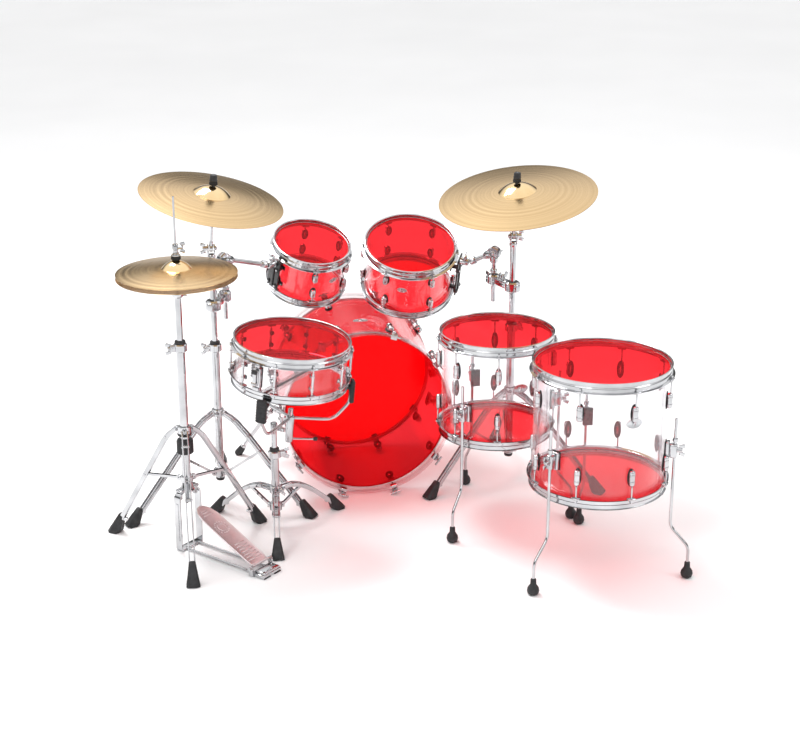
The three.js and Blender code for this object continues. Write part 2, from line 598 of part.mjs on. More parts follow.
function snareStand(kit) {
  const s = SNARE_STAND;
  const base = frame(kit, "snare_stand", [...s.at, 0]);
  const lower = tripodBase(s, SNARE_TRIPOD, 2, 40, 262);
  node(base, "snare_stand_base", join(lower, heightClamp(s.tube, 261, 5)), steel());

  // The upper tube ends in an offset arm that holds the basket's hub.
  const inner = s.tube - 3 - GAP;
  const [hx, hy] = [s.hub[0] - s.at[0], s.hub[1] - s.at[1]];
  const across = Math.hypot(hx, hy);
  const turn = THREE.MathUtils.radToDeg(Math.atan2(hy, hx));
  const arm = block([across - 18, 14, 16], [across / 2 - 12, 0, 352]);
  const post = join(bar([0, 0, 110], [0, 0, 360], inner, TUBE), spin(arm, turn));
  node(base, "snare_stand_upper_tube", post, steel());

  // The basket: a hub with its long tightening lever, and three arms that grip the snare's lower hoop.
  const hubAt = frame(base, "basket_pivot", [hx, hy, 352]);
  const hub = frame(hubAt, "basket_lean", [0, 0, 0], SNARE.lean);
  const bottomCentre = vec(0, 0, -SNARE.height);
  const top = frame(new THREE.Group(), "probe", SNARE.rim, SNARE.lean);
  top.updateMatrixWorld(true);
  hub.updateWorldMatrix(true, false);
  const seat = bottomCentre.applyMatrix4(top.matrixWorld).sub(vec(...s.at, 0));
  seat.sub(hubAt.position).applyQuaternion(hub.quaternion.clone().invert());
  const grip = SNARE.radius + 16;
  const arms = BASKET_ARMS.map((a) => {
    const side = (out, up) => [
      seat.x + out * Math.cos(rad(a)),
      seat.y + out * Math.sin(rad(a)),
      seat.z + up,
    ];
    const start = [12 * Math.cos(rad(a)), 12 * Math.sin(rad(a)), 50];
    const rail = bent([start, side(150, -128), side(grip + 4, -66), side(grip + 8, -34)], 5.5);
    const pad = block([16, 36, 82], [grip + 9, 0, -26]);
    const ledge = block([30, 30, 14], [grip - 6, 0, -10 - GAP]);
    return join(rail, spin(join(pad, ledge), a).translate([seat.x, seat.y, seat.z]));
  });
  const nut = join(bar([0, 0, -34], [0, 0, 60], 14, 8), bar([0, 0, 60], [0, 0, 84], 9));
  const lever = spin(block([84, 8, 6], [46, 0, -24]), 0);
  node(hub, "snare_basket", join(nut, arms, lever), steel());
}

// ---- The kit ---------------------------------------------------------------------------------------

const kit = new THREE.Group();
kit.name = "drum_kit";
bassDrum(kit);
spurs(kit);
rackTom(kit, "tom_10", TOM_10, TOM_10_SOCKET);
rackTom(kit, "tom_12", TOM_12, TOM_12_SOCKET);
floorTom(kit, "floor_tom_14", FLOOR_14, FLOOR_14_LEGS);
floorTom(kit, "floor_tom_16", FLOOR_16, FLOOR_16_LEGS);
snare(kit);
cymbalStand(kit, "left", LEFT, CRASH, CRASH_ROD, "crash_cymbal", TOM_10, "tom_10", TOM_10_SOCKET);
cymbalStand(kit, "right", RIGHT, RIDE, RIDE_ROD, "ride_cymbal", TOM_12, "tom_12", TOM_12_SOCKET);
snareStand(kit);
hihat(kit);

const outline = new THREE.Box3().setFromObject(kit, true);
const middle = outline.getCenter(vec(0, 0, 0));
kit.position.set(-middle.x, -middle.y, -outline.min.z);

export default kit;
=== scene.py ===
"""A clear acrylic drum kit with red film heads, chrome hardware and bronze cymbals, in metres."""

import json
import math

import bmesh
import bpy
import numpy as np
from mathutils import Matrix, Vector


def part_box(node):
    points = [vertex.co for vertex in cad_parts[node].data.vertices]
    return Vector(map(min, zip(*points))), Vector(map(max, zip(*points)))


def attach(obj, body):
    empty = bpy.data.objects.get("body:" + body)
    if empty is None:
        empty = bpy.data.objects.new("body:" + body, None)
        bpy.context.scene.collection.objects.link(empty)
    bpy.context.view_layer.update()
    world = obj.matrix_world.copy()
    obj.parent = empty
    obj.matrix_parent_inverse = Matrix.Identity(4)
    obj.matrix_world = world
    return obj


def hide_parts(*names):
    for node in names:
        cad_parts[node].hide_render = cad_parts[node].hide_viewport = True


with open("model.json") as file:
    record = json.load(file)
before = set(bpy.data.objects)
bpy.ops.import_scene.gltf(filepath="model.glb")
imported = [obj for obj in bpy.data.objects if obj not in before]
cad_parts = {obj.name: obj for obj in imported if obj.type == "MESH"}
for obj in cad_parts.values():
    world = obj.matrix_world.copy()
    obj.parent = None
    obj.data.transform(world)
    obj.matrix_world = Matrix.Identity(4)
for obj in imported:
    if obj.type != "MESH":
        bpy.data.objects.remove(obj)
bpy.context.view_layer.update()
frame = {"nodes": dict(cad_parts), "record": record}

# ---- Bass drum shell ---------------------------------------------------------------------------------
# A cast acrylic tube with polished bearing edges. It stands on its side, with ten chrome lugs on each
# half, each on a black gasket, and a vent with an oval plate on top.


def lathe(profile, sides=96, closed=True):
    """The (radius, height) points turned about Z. An open profile leaves a single skin."""
    verts, rings, faces = [], [], []
    turns = [2 * math.pi * i / sides for i in range(sides)]
    for r, z in profile:
        start = len(verts)
        if r < 1e-9:
            verts.append((0, 0, z))
            rings.append([start] * sides)
        else:
            verts += [(r * math.cos(t), r * math.sin(t), z) for t in turns]
            rings.append(list(range(start, start + sides)))
    pairs = list(zip(rings, rings[1:]))
    if closed:
        pairs.append((rings[-1], rings[0]))
    for low, high in pairs:
        for i in range(sides):
            j = (i + 1) % sides
            face = list(dict.fromkeys([low[i], low[j], high[j], high[i]]))
            if len(face) > 2:
                faces.append(face)
    return verts, faces


def moved(shape, matrix):
    return [tuple(matrix @ Vector(v)) for v in shape[0]], shape[1]


def joined(shapes):
    verts, faces = [], []
    for v, f in shapes:
        faces += [[i + len(verts) for i in face] for face in f]
        verts += v
    return verts, faces


def pipe_ring(inner, outer, low, high, ease=0.0012, sides=40):
    line = [
        (inner, low), (outer - ease, low), (outer, low + ease), (outer, high - ease), (outer - ease, high)
    ]
    return lathe([*line, (inner, high)], sides)


def round_about(count, shape, first=0.0):
    """Copies of a shape at equal turns about Z, the first at that many degrees."""
    turns = [math.radians(first + 360 * i / count) for i in range(count)]
    return joined([moved(shape, Matrix.Rotation(t, 4, "Z")) for t in turns])


def brick(size, at=(0, 0, 0), bevel=0.001, segments=2):
    """A block with rounded edges."""
    bm = bmesh.new()
    bmesh.ops.create_cube(bm, size=1)
    bmesh.ops.scale(bm, vec=size, verts=bm.verts)
    bmesh.ops.bevel(
        bm, geom=bm.edges[:], offset=min(
            bevel, 0.49 * min(size)
        ), segments=segments, affect="EDGES", profile=0.5
    )
    verts = [tuple(Vector(at) + v.co) for v in bm.verts]
    faces = [[v.index for v in f.verts] for f in bm.faces]
    bm.free()
    return verts, faces


def aim(at, along):
    """A frame at a point with Z along a direction."""
    turn = Vector((0, 0, 1)).rotation_difference(Vector(along))
    return Matrix.Translation(Vector(at)) @ turn.to_matrix().to_4x4()


def rounded(points, bend, steps=6):
    """The points with each inner corner drawn as a curve that starts that far from it."""
    p = [Vector(q) for q in points]
    out = [p[0]]
    for before, here, after in zip(p, p[1:], p[2:]):
        near = min(bend, 0.45 * (here - before).length, 0.45 * (after - here).length)
        a = here + (before - here).normalized() * near
        b = here + (after - here).normalized() * near
        for i in range(steps + 1):
            t = i / steps
            out.append(a * (1 - t) ** 2 + here * 2 * t * (1 - t) + b * t**2)
    return out + [p[-1]]


def sweep(points, section, side=(0, 1, 0), sizes=None):
    """A closed section of (across, up) points carried along a path, with flat ends."""
    verts, faces, n = [], [], len(section)
    for i, p in enumerate(points):
        along = (points[min(i + 1, len(points) - 1)] - points[max(i - 1, 0)]).normalized()
        across = (Vector(side) - along * along.dot(Vector(side))).normalized()
        up = along.cross(across)
        k = sizes[i] if sizes else 1
        verts += [tuple(p + across * u * k + up * v * k) for u, v in section]
    for i in range(len(points) - 1):
        for j in range(n):
            k = (j + 1) % n
            faces.append([i * n + j, i * n + k, (i + 1) * n + k, (i + 1) * n + j])
    faces.append(list(range(n)))
    faces.append([len(verts) - n + j for j in range(n)])
    return verts, faces


def rod(points, radius, bend=0.01, sides=20):
    """A round bar or tube along a path, with its two end edges eased."""
    path = rounded(points, bend)
    ease = 0.25 * radius
    first = (path[1] - path[0]).normalized() * ease
    last = (path[-2] - path[-1]).normalized() * ease
    path = [path[0], path[0] + first, *path[1:-1], path[-1] + last, path[-1]]
    sizes = [0.8] + [1] * (len(path) - 2) + [0.8]
    steps = [(b - a).normalized() for a, b in zip(path, path[1:])]
    side = min(((1, 0, 0), (0, 1, 0), (0, 0, 1)), key=lambda s: max(abs(Vector(s).dot(d)) for d in steps))
    circle = [
        (radius * math.cos(t), radius * math.sin(t)) for t in np.linspace(0, 2 * math.pi, sides, False)
    ]
    return sweep(path, circle, side, sizes)


def pin_profile(radius, low, high):
    """The profile of a plain turned pin."""
    return [(0, low), (radius, low), (radius, high), (0, high)]


def turned(profile, sides, at, along):
    """A closed profile turned about a line from a point."""
    return moved(lathe(profile, sides), aim(at, along))


def capsule(radius, length, at=(0, 0, 0), sides=24, flat=0.35):
    """A turned barrel along Z with domed ends."""
    dome = [(radius * math.sin(t), radius * (1 - math.cos(t))) for t in np.linspace(0.15, math.pi / 2, 7)]
    dome = [(r, z * flat * 2) for r, z in dome]
    half = length / 2
    low = [(0, -half)] + [(r, -half + z) for r, z in dome]
    high = [(r, half - z) for r, z in reversed(dome)] + [(0, half)]
    return moved(lathe(low + high, sides), Matrix.Translation(Vector(at)))


def wing_nut(at, along, span=0.034, across=(0, 0, 1)):
    """A cast wing nut: a turned hub with two flat rounded blades. Along is the screw's direction."""
    hub = lathe(
        [(0, 0), (span * 0.24, 0), (span * 0.2, span * 0.4), (span * 0.1, span * 0.46), (0, span * 0.46)],
        20,
    )
    frame_at = aim(at, along)
    local = frame_at.to_3x3().inverted() @ Vector(across)
    turn = Matrix.Rotation(math.atan2(local.y, local.x), 4, "Z")
    blades = []
    for s in (-1, 1):
        blade = brick((span * 0.36, span * 0.09, span * 0.5), bevel=span * 0.043)
        lean = Matrix.Translation((s * span * 0.34, 0, span * 0.4)) @ Matrix.Rotation(s * 0.35, 4, "Y")
        blades.append(moved(blade, lean))
    return moved(joined([hub, moved(joined(blades), turn)]), frame_at)


def piece(name, layers, body, nodes=(), place=Matrix(), sharp=38):
    """Joins (shape, material) layers into one object that rides on a body and stands for CAD nodes."""
    verts, faces, marks, materials = [], [], [], []
    for shape, material in layers:
        if material not in materials:
            materials.append(material)
        marks += [materials.index(material)] * len(shape[1])
        faces += [[i + len(verts) for i in face] for face in shape[1]]
        verts += shape[0]
    mesh = bpy.data.meshes.new(name)
    mesh.from_pydata(verts, [], faces)
    for material in materials:
        mesh.materials.append(material)
    mesh.polygons.foreach_set("material_index", marks)
    bm = bmesh.new()
    bm.from_mesh(mesh)
    bmesh.ops.recalc_face_normals(bm, faces=bm.faces)
    bm.to_mesh(mesh)
    bm.free()
    mesh.shade_smooth()
    mesh.set_sharp_from_angle(angle=math.radians(sharp))
    thing = bpy.data.objects.new(name, mesh)
    bpy.context.collection.objects.link(thing)
    thing.matrix_world = place
    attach(thing, body)
    if nodes:
        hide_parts(*nodes)
    return thing


def new_material(name):
    material = bpy.data.materials.new(name)
    material.use_nodes = True
    tree = material.node_tree
    return material, tree, tree.nodes["Principled BSDF"]


def noise(tree, scale, detail=4.0, stretch=(1, 1, 1)):
    """Fractal noise over the piece's own coordinates."""
    where = tree.nodes.new("ShaderNodeTexCoord")
    size = tree.nodes.new("ShaderNodeMapping")
    size.inputs["Scale"].default_value = stretch
    texture = tree.nodes.new("ShaderNodeTexNoise")
    texture.inputs["Scale"].default_value = scale
    texture.inputs["Detail"].default_value = detail
    tree.links.new(where.outputs["Object"], size.inputs["Vector"])
    tree.links.new(size.outputs["Vector"], texture.inputs["Vector"])
    return texture.outputs["Fac"]


def shades(tree, value, colours, into):
    """Colours across the noise's middle range."""
    ramp = tree.nodes.new("ShaderNodeValToRGB")
    ramp.color_ramp.elements[0].position = 0.32
    ramp.color_ramp.elements[1].position = 0.68
    ramp.color_ramp.elements[0].color = (*colours[0], 1)
    ramp.color_ramp.elements[1].color = (*colours[1], 1)
    tree.links.new(value, ramp.inputs["Fac"])
    tree.links.new(ramp.outputs["Color"], into)


def between(tree, value, low, high, into):
    spread = tree.nodes.new("ShaderNodeMapRange")
    spread.inputs["From Min"].default_value = 0.3
    spread.inputs["From Max"].default_value = 0.7
    spread.inputs["To Min"].default_value = low
    spread.inputs["To Max"].default_value = high
    tree.links.new(value, spread.inputs["Value"])
    tree.links.new(spread.outputs["Result"], into)


def raised(tree, value, height, into, strength=1.0):
    bump = tree.nodes.new("ShaderNodeBump")
    bump.inputs["Strength"].default_value = strength
    bump.inputs["Distance"].default_value = height
    tree.links.new(value, bump.inputs["Height"])
    tree.links.new(bump.outputs["Normal"], into)


def coated(name, colours, rough, metallic, scale, height, grain):
    """A solid finish: two close shades, a spread of roughness and a fine raised grain."""
    material, tree, main = new_material(name)
    main.inputs["Metallic"].default_value = metallic
    shades(tree, noise(tree, scale), colours, main.inputs["Base Color"])
    between(tree, noise(tree, scale * 2.3, 6), rough[0], rough[1], main.inputs["Roughness"])
    raised(tree, noise(tree, grain, 3), height, main.inputs["Normal"])
    return material


def clear_acrylic(name, tint, gloss, rough):
    """Clear sheet: light passes with a faint tint, and the surface mirrors up to gloss at its edges."""
    material, tree, main = new_material(name)
    main.inputs["Metallic"].default_value = 1
    shades(tree, noise(tree, 9), ((0.93, 0.95, 0.97), (1, 1, 1)), main.inputs["Base Color"])
    between(tree, noise(tree, 34, 5), rough[0], rough[1], main.inputs["Roughness"])
    through = tree.nodes.new("ShaderNodeBsdfTransparent")
    through.inputs["Color"].default_value = (*tint, 1)
    glance = tree.nodes.new("ShaderNodeLayerWeight")
    steep = tree.nodes.new("ShaderNodeMath")
    steep.operation = "POWER"
    steep.inputs[1].default_value = 3.2
    share = tree.nodes.new("ShaderNodeMapRange")
    share.inputs["To Min"].default_value = 0.045
    share.inputs["To Max"].default_value = gloss
    tree.links.new(glance.outputs["Facing"], steep.inputs[0])
    tree.links.new(steep.outputs["Value"], share.inputs["Value"])
    mix = tree.nodes.new("ShaderNodeMixShader")
    tree.links.new(share.outputs["Result"], mix.inputs["Fac"])
    tree.links.new(through.outputs["BSDF"], mix.inputs[1])
    tree.links.new(main.outputs["BSDF"], mix.inputs[2])
    tree.links.new(mix.outputs["Shader"], tree.nodes["Material Output"].inputs["Surface"])
    return material


acrylic = clear_acrylic("clear_acrylic", (0.97, 0.97, 0.975), 0.55, (0.01, 0.04))
chrome = coated("chrome", ((0.46, 0.465, 0.48), (0.62, 0.625, 0.64)), (0.03, 0.1), 1, 14, 0.00002, 420)
gasket_rubber = coated(
    "black_rubber", ((0.012, 0.012, 0.013), (0.03, 0.03, 0.032)), (0.5, 0.75), 0, 60, 0.0001, 900
)


def polished_edge():
    """The sawn and flamed edge of the sheet, where the light that runs inside it comes out."""
    material, tree, main = new_material("acrylic_edge")
    shades(tree, noise(tree, 22), ((0.72, 0.75, 0.78), (0.95, 0.96, 0.97)), main.inputs["Base Color"])
    between(tree, noise(tree, 90, 5), 0.12, 0.3, main.inputs["Roughness"])
    through = tree.nodes.new("ShaderNodeBsdfTransparent")
    through.inputs["Color"].default_value = (0.93, 0.94, 0.95, 1)
    mix = tree.nodes.new("ShaderNodeMixShader")
    mix.inputs["Fac"].default_value = 0.55
    tree.links.new(through.outputs["BSDF"], mix.inputs[1])
    tree.links.new(main.outputs["BSDF"], mix.inputs[2])
    tree.links.new(mix.outputs["Shader"], tree.nodes["Material Output"].inputs["Surface"])
    return material


edge = polished_edge()


def clear_shell(radius, low, high, wall=0.006):
    """The tube's two faces as one material and its bearing edges as another."""
    ease = 0.0025
    inner, outer = radius - wall, radius
    faces = lathe([(inner, low + ease), (inner, high - ease)], closed=False)
    outside = lathe([(outer, low + ease / 3), (outer, high - ease / 3)], closed=False)
    top = lathe([(inner, high - ease), (outer - 0.001, high), (outer, high - ease / 3)], closed=False)
    bottom = lathe([(inner, low + ease), (outer - 0.001, low), (outer, low + ease / 3)], closed=False)
    return [(joined([faces, outside]), acrylic), (joined([top, bottom]), edge)]


bass_low, bass_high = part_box("bass_shell")
bass_middle = (bass_low + bass_high) / 2
bass_radius, bass_half = 0.280, 0.203
bass_place = Matrix.Translation(bass_middle) @ Matrix.Rotation(math.pi / 2, 4, "X")
bass_lugs = 10


def oval(levels, wide, tall, radius):
    """An oval plate bent round a shell at +X, from its middle out: (share of the size, height) levels."""
    spokes = 40
    verts, faces = [], []
    for k, (size, out) in enumerate(levels):
        for i in range(spokes):
            t = 2 * math.pi * i / spokes
            turn = size * wide / 2 * math.cos(t) / radius
            up = size * tall / 2 * math.sin(t)
            verts.append(((radius + out) * math.cos(turn), (radius + out) * math.sin(turn), up))
            if k:
                a, b, j = (k - 1) * spokes, k * spokes, (i + 1) % spokes
                faces.append([a + i, a + j, b + j, b + i])
    return verts, faces


def gasket(radius, z, wide, tall):
    levels = ((0.3, 0.0004), (0.3, 0.0022), (0.94, 0.0022), (1.0, 0.0014), (1.0, 0.0004), (0.3, 0.0004))
    return moved(oval(levels, wide, tall, radius), Matrix.Translation((0, 0, z)))


def bass_lug():
    """A bullet lug across the shell: a pedestal on a gasket, a barrel and its swivel nut collars."""
    out = bass_radius + 0.0135
    barrel = capsule(0.0098, 0.05, (out, 0, 0))
    waist = lathe([(0.0102, -0.004), (0.0112, -0.002), (0.0112, 0.002), (0.0102, 0.004), (0.009, 0)], 24)
    collars = [moved(waist, Matrix.Translation((out, 0, z))) for z in (-0.014, 0.014)]
    foot = moved(capsule(0.0085, 0.018, sides=20), aim((bass_radius + 0.007, 0, 0), (1, 0, 0)))
    return joined([barrel, *collars, foot]), gasket(bass_radius, 0, 0.028, 0.058)


lug_metal, lug_pad = bass_lug()
rows = [Matrix.Translation((0, 0, s * (bass_half - 0.062))) for s in (-1, 1)]
metal = joined([moved(round_about(bass_lugs, lug_metal), row) for row in rows])
pads = joined([moved(round_about(bass_lugs, lug_pad), row) for row in rows])
piece(
    "bass_drum_tube",
    clear_shell(bass_radius, -bass_half, bass_half),
    "floor_set",
    ["bass_shell"],
    bass_place,
)
piece("bass_drum_lugs", [(metal, chrome), (pads, gasket_rubber)], "floor_set", place=bass_place)

badge_silver = coated(
    "badge_plate", ((0.45, 0.46, 0.48), (0.75, 0.76, 0.78)), (0.2, 0.4), 1, 260, 0.00012, 700
)


def vent_and_badge(angle, height, radius, wide=0.052, tall=0.03):
    """A turned vent grommet in the middle of a plain oval plate, bent round the shell."""
    levels = ((0.12, 0.0012), (0.86, 0.0012), (0.93, 0.0018), (1.0, 0.0014), (1.0, 0.0001))
    grommet = lathe(
        [(0.003, 0.0005), (0.003, 0.004), (0.0055, 0.0045), (0.0075, 0.003), (0.008, 0.0005)], 24
    )
    grommet = moved(grommet, aim((radius, 0, 0), (1, 0, 0)))
    place = Matrix.Translation((0, 0, height)) @ Matrix.Rotation(math.radians(angle), 4, "Z")
    plate = oval(levels, wide, tall, radius)
    return [(moved(plate, place), badge_silver), (moved(grommet, place), chrome)]


piece("bass_drum_badge", vent_and_badge(90, 0.055, bass_radius), "floor_set", place=bass_place)

# ---- Bass drum heads and hoops -----------------------------------------------------------------------
# Red film heads held by clear acrylic hoops. Ten chrome claws reach over each hoop, and a long rod with
# a T handle pulls each claw towards its lug.


def red_film_material(name, solid):
    """Translucent red film: red light passes, and the glossy face scatters and mirrors a little."""
    material, tree, main = new_material(name)
    main.inputs["IOR"].default_value = 1.5
    shades(tree, noise(tree, 5), ((0.62, 0.005, 0.012), (0.74, 0.01, 0.018)), main.inputs["Base Color"])
    between(tree, noise(tree, 30, 5), 0.08, 0.22, main.inputs["Roughness"])
    raised(tree, noise(tree, 7, 2), 0.0006, main.inputs["Normal"])
    through = tree.nodes.new("ShaderNodeBsdfTransparent")
    through.inputs["Color"].default_value = (0.86, 0.025, 0.035, 1)
    mix = tree.nodes.new("ShaderNodeMixShader")
    mix.inputs["Fac"].default_value = solid
    tree.links.new(through.outputs["BSDF"], mix.inputs[1])
    tree.links.new(main.outputs["BSDF"], mix.inputs[2])
    tree.links.new(mix.outputs["Shader"], tree.nodes["Material Output"].inputs["Surface"])
    return material


film = red_film_material("red_film", 0.2)
bass_film = red_film_material("bass_red_film", 0.1)
flesh_metal = coated(
    "flesh_hoop_aluminium", ((0.55, 0.56, 0.58), (0.7, 0.71, 0.72)), (0.25, 0.4), 1, 30, 0.00005, 500
)
# Clear acrylic hoops; their faint pink tint is painted red light from the film heads.
hoop_acrylic_with_painted_pink_light = clear_acrylic("hoop_acrylic_with_painted_pink_light", (0.96, 0.9, 0.905), 0.75, (0.02, 0.06))


def film_head(radius, top, out, skin_film=film):
    """A single skin over the bearing edge, bent down into its flesh hoop. Top is the playing face."""
    skin = [(0, top), (radius * 0.5, top), (radius - 0.012, top), (radius - 0.004, top - 0.0004)]
    skin += [(radius - 0.0006, top - 0.0014), (radius + 0.001, top - 0.004), (radius + 0.0012, top - 0.008)]
    ring = [(radius + 0.0006, top - 0.012), (radius + out, top - 0.012), (radius + out, top - 0.0045)]
    ring += [(radius + out - 0.001, top - 0.004), (radius + 0.0006, top - 0.006)]
    return [(lathe(skin, closed=False), skin_film), (lathe(ring), flesh_metal)]


def clear_hoop(radius, outer, low, high):
    ease = 0.0022
    band = [
        (radius, low), (outer - ease, low), (outer, low + ease), (outer, high - ease), (outer - ease, high)
    ]
    return lathe([*band, (radius + ease, high), (radius, high - ease)])


def bass_claws(face, lug_at):
    """Chrome claws over the hoop's face, with T rods that run back to the lugs."""
    outer = 0.292
    plate = [(outer - 0.012, face - 0.012), (outer - 0.012, face + 0.0018), (outer + 0.004, face + 0.0018)]
    plate += [(outer + 0.0075, face - 0.003), (outer + 0.0075, face - 0.03)]
    path = rounded([(x, 0, z) for x, z in plate], 0.005)
    leaf = [(-0.0105, -0.0012), (0.0105, -0.0012), (0.0105, 0.0012), (-0.0105, 0.0012)]
    hook = sweep(path, leaf)
    ear = capsule(0.0062, 0.014, (outer + 0.0085, 0, face - 0.02), 20)
    out = bass_radius + 0.0175
    stem = rod([(out, 0, face + 0.02), (out, 0, lug_at)], 0.0029)
    handle = rod([(out, -0.019, face + 0.021), (out, 0.019, face + 0.021)], 0.0034)
    neck = lathe([(0, -0.006), (0.0055, -0.006), (0.0062, -0.002), (0.0045, 0.004), (0, 0.004)], 20)
    neck = moved(neck, Matrix.Translation((out, 0, face + 0.018)))
    return round_about(bass_lugs, joined([hook, ear, stem, handle, neck]))


head_face = bass_half + 0.0014
bass_claw_set = bass_claws(0.238, bass_half - 0.05)
hoop_band = clear_hoop(bass_radius + 0.0052, 0.292, bass_half - 0.006, 0.238)
mirror = Matrix.Scale(-1, 4, (0, 0, 1))


def bass_side(flip):
    skin = [(moved(s, flip), m) for s, m in film_head(bass_radius, head_face, 0.0044, bass_film)]
    hoop = [(moved(hoop_band, flip), hoop_acrylic_with_painted_pink_light), (moved(bass_claw_set, flip), chrome)]
    return skin, hoop


skin, hoop = bass_side(Matrix())
piece("bass_batter_film", skin, "floor_set", ["bass_batter_head"], bass_place)
piece("bass_batter_clear_hoop", hoop, "floor_set", ["bass_batter_hoop"], bass_place)
skin, hoop = bass_side(mirror)
piece("bass_front_film", skin, "floor_set", ["bass_front_head"], bass_place)
piece("bass_front_clear_hoop", hoop, "floor_set", ["bass_front_head"], bass_place)

# ---- Bass drum spurs ---------------------------------------------------------------------------------
# A chrome tube on each side, turned on a bracket that is bolted through the shell on a gasket. A black
# rubber tip takes the floor.
joints = {j["name"]: j for j in frame["record"]["behaviour"]["joints"]}
hard_rubber = coated(
    "foot_rubber", ((0.01, 0.01, 0.011), (0.024, 0.024, 0.026)), (0.42, 0.7), 0, 45, 0.00025, 380
)


def pin_of(name):
    return Vector(joints[name]["pos_m"])


def bass_spur(side, name):
    pin = pin_of(f"spur_{name}_fold")
    foot = Vector((pin.x + side * 0.118, pin.y + 0.078, 0.0))
    run = foot - pin
    tube = rod([pin + run * 0.01, pin + run * 0.84], 0.0078, sides=28)
    collar = moved(capsule(0.0115, 0.03, sides=28), aim(pin + run * 0.16, run))
    grip = moved(capsule(0.0105, 0.02, sides=28), aim(pin + run * 0.8, run))
    tip = lathe([(0, 0), (0.0105, 0), (0.0125, 0.01), (0.0145, 0.034), (0.014, 0.04), (0, 0.042)], 32)
    tip = moved(tip, aim(pin + run * 0.815, run))
    eye = moved(
        capsule(0.0135, 0.024, sides=28), aim(pin, (pin.x - bass_middle.x, 0, pin.z - bass_middle.z))
    )
    tip = [(x, y, max(z, 0.0)) for x, y, z in tip[0]], tip[1]
    layers = [(joined([tube, collar, grip, eye]), chrome), (tip, hard_rubber)]
    piece(f"spur_{name}", layers, f"spur_{name}", [f"bass_spur_{name}"])
    # The bracket on the shell.
    out = Vector((pin.x - bass_middle.x, 0, pin.z - bass_middle.z)).normalized()
    seat = Vector((bass_middle.x, pin.y, bass_middle.z)) + out * bass_radius
    base = Matrix.Translation(seat) @ Vector((1, 0, 0)).rotation_difference(out).to_matrix().to_4x4()
    pad = moved(brick((0.003, 0.036, 0.044), (0.0012, 0, 0), 0.001), base)
    plate = moved(brick((0.008, 0.034, 0.042), (0.0065, 0, 0), 0.003, 3), base)
    boss = turned(
        [(0.0, 0.0), (0.015, 0.0), (0.0145, 0.02), (0.012, 0.024), (0, 0.024)], 28, seat + out * 0.008, out
    )
    screw = wing_nut(seat + out * 0.02 + Vector((0, -0.016, 0)), (0, -1, 0), 0.03)
    piece(
        f"spur_{name}_bracket",
        [(joined([plate, boss, screw]), chrome), (pad, gasket_rubber)],
        "floor_set",
    )


for spur_side, spur_name in ((-1, "left"), (1, "right")):
    bass_spur(spur_side, spur_name)

# ---- Tom and snare shells, heads and hoops -----------------------------------------------------------
# Each drum is a clear tube with film heads above and below. Pressed steel hoops with three flanges pull
# the heads down by square-headed rods, which screw into rounded lugs on black gaskets.


def stance(node):
    """The frame of a round CAD node: its middle, with Z along its axis."""
    corners = {tuple(round(c, 5) for c in v.co) for v in frame["nodes"][node].data.vertices}
    corners = np.array(sorted(corners))
    middle = corners.mean(0)
    axis = Vector(np.linalg.svd(corners - middle)[2][2])
    if axis.z < 0:
        axis.negate()
    top = max((Vector(c) - Vector(middle)).dot(axis) for c in corners)
    return aim(Vector(middle) + axis * top, axis)


def leaf_profile(points, thick):
    """An open line in the (radius, height) plane as a sheet of that thickness."""
    line = [Vector((p.x, p.z)) for p in rounded([(r, 0, z) for r, z in points], 0.002, 4)]
    sides = []
    for i, p in enumerate(line):
        along = (line[min(i + 1, len(line) - 1)] - line[max(i - 1, 0)]).normalized()
        sides.append(Vector((-along.y, along.x)) * thick / 2)
    there = [tuple(p + s) for p, s in zip(line, sides)]
    back = [tuple(p - s) for p, s in zip(line, sides)]
    return there + back[::-1]


def steel_hoop(radius, rods, turn, rod_end):
    """A triple-flanged hoop with an ear at each rod. The hoop's top edge is at height 0."""
    line = [(radius + 0.0092, -0.0022), (radius + 0.0052, -0.0009), (radius + 0.0042, -0.004)]
    line += [
        (radius + 0.0042, -0.015), (radius + 0.0072, -0.018), (radius + 0.0072, -0.0295),
        (radius + 0.0158, -0.0325),
    ]
    wall = lathe(leaf_profile(line, 0.0019), 120)
    ear = brick((0.017, 0.026, 0.0045), (radius + 0.0105, 0, -0.0318), 0.002, 3)
    out = radius + 0.012
    stem = rod([(out, 0, -0.026), (out, 0, -rod_end)], 0.0027, sides=12)
    nut = brick((0.0062, 0.0062, 0.0085), (out, 0, -0.0235), 0.0008)
    washer = lathe(
        [(0.0, -0.0012), (0.0062, -0.0012), (0.0062, 0.0002), (0.005, 0.0008), (0.0, 0.0008)], 20
    )
    washer = moved(washer, Matrix.Translation((out, 0, -0.0286)))
    return joined([wall, round_about(rods, joined([ear, stem, nut, washer]), turn)])


def tom_lug(radius, z, length):
    """A bullet lug along the shell, with its pedestal and gasket, in the frame of the drum's rim."""
    out = radius + 0.0095
    barrel = capsule(0.0088, length, (out, 0, z))
    belt = lathe([(0.0088, -0.003), (0.0098, -0.0015), (0.0098, 0.0015), (0.0088, 0.003), (0.008, 0)], 24)
    belts = [moved(belt, Matrix.Translation((out, 0, z + s * length * 0.22))) for s in (-1, 1)]
    foot = brick((0.008, 0.012, length * 0.5), (radius + 0.005, 0, z), 0.003, 3)
    return joined([barrel, *belts, foot]), gasket(radius, z, 0.023, length + 0.008)


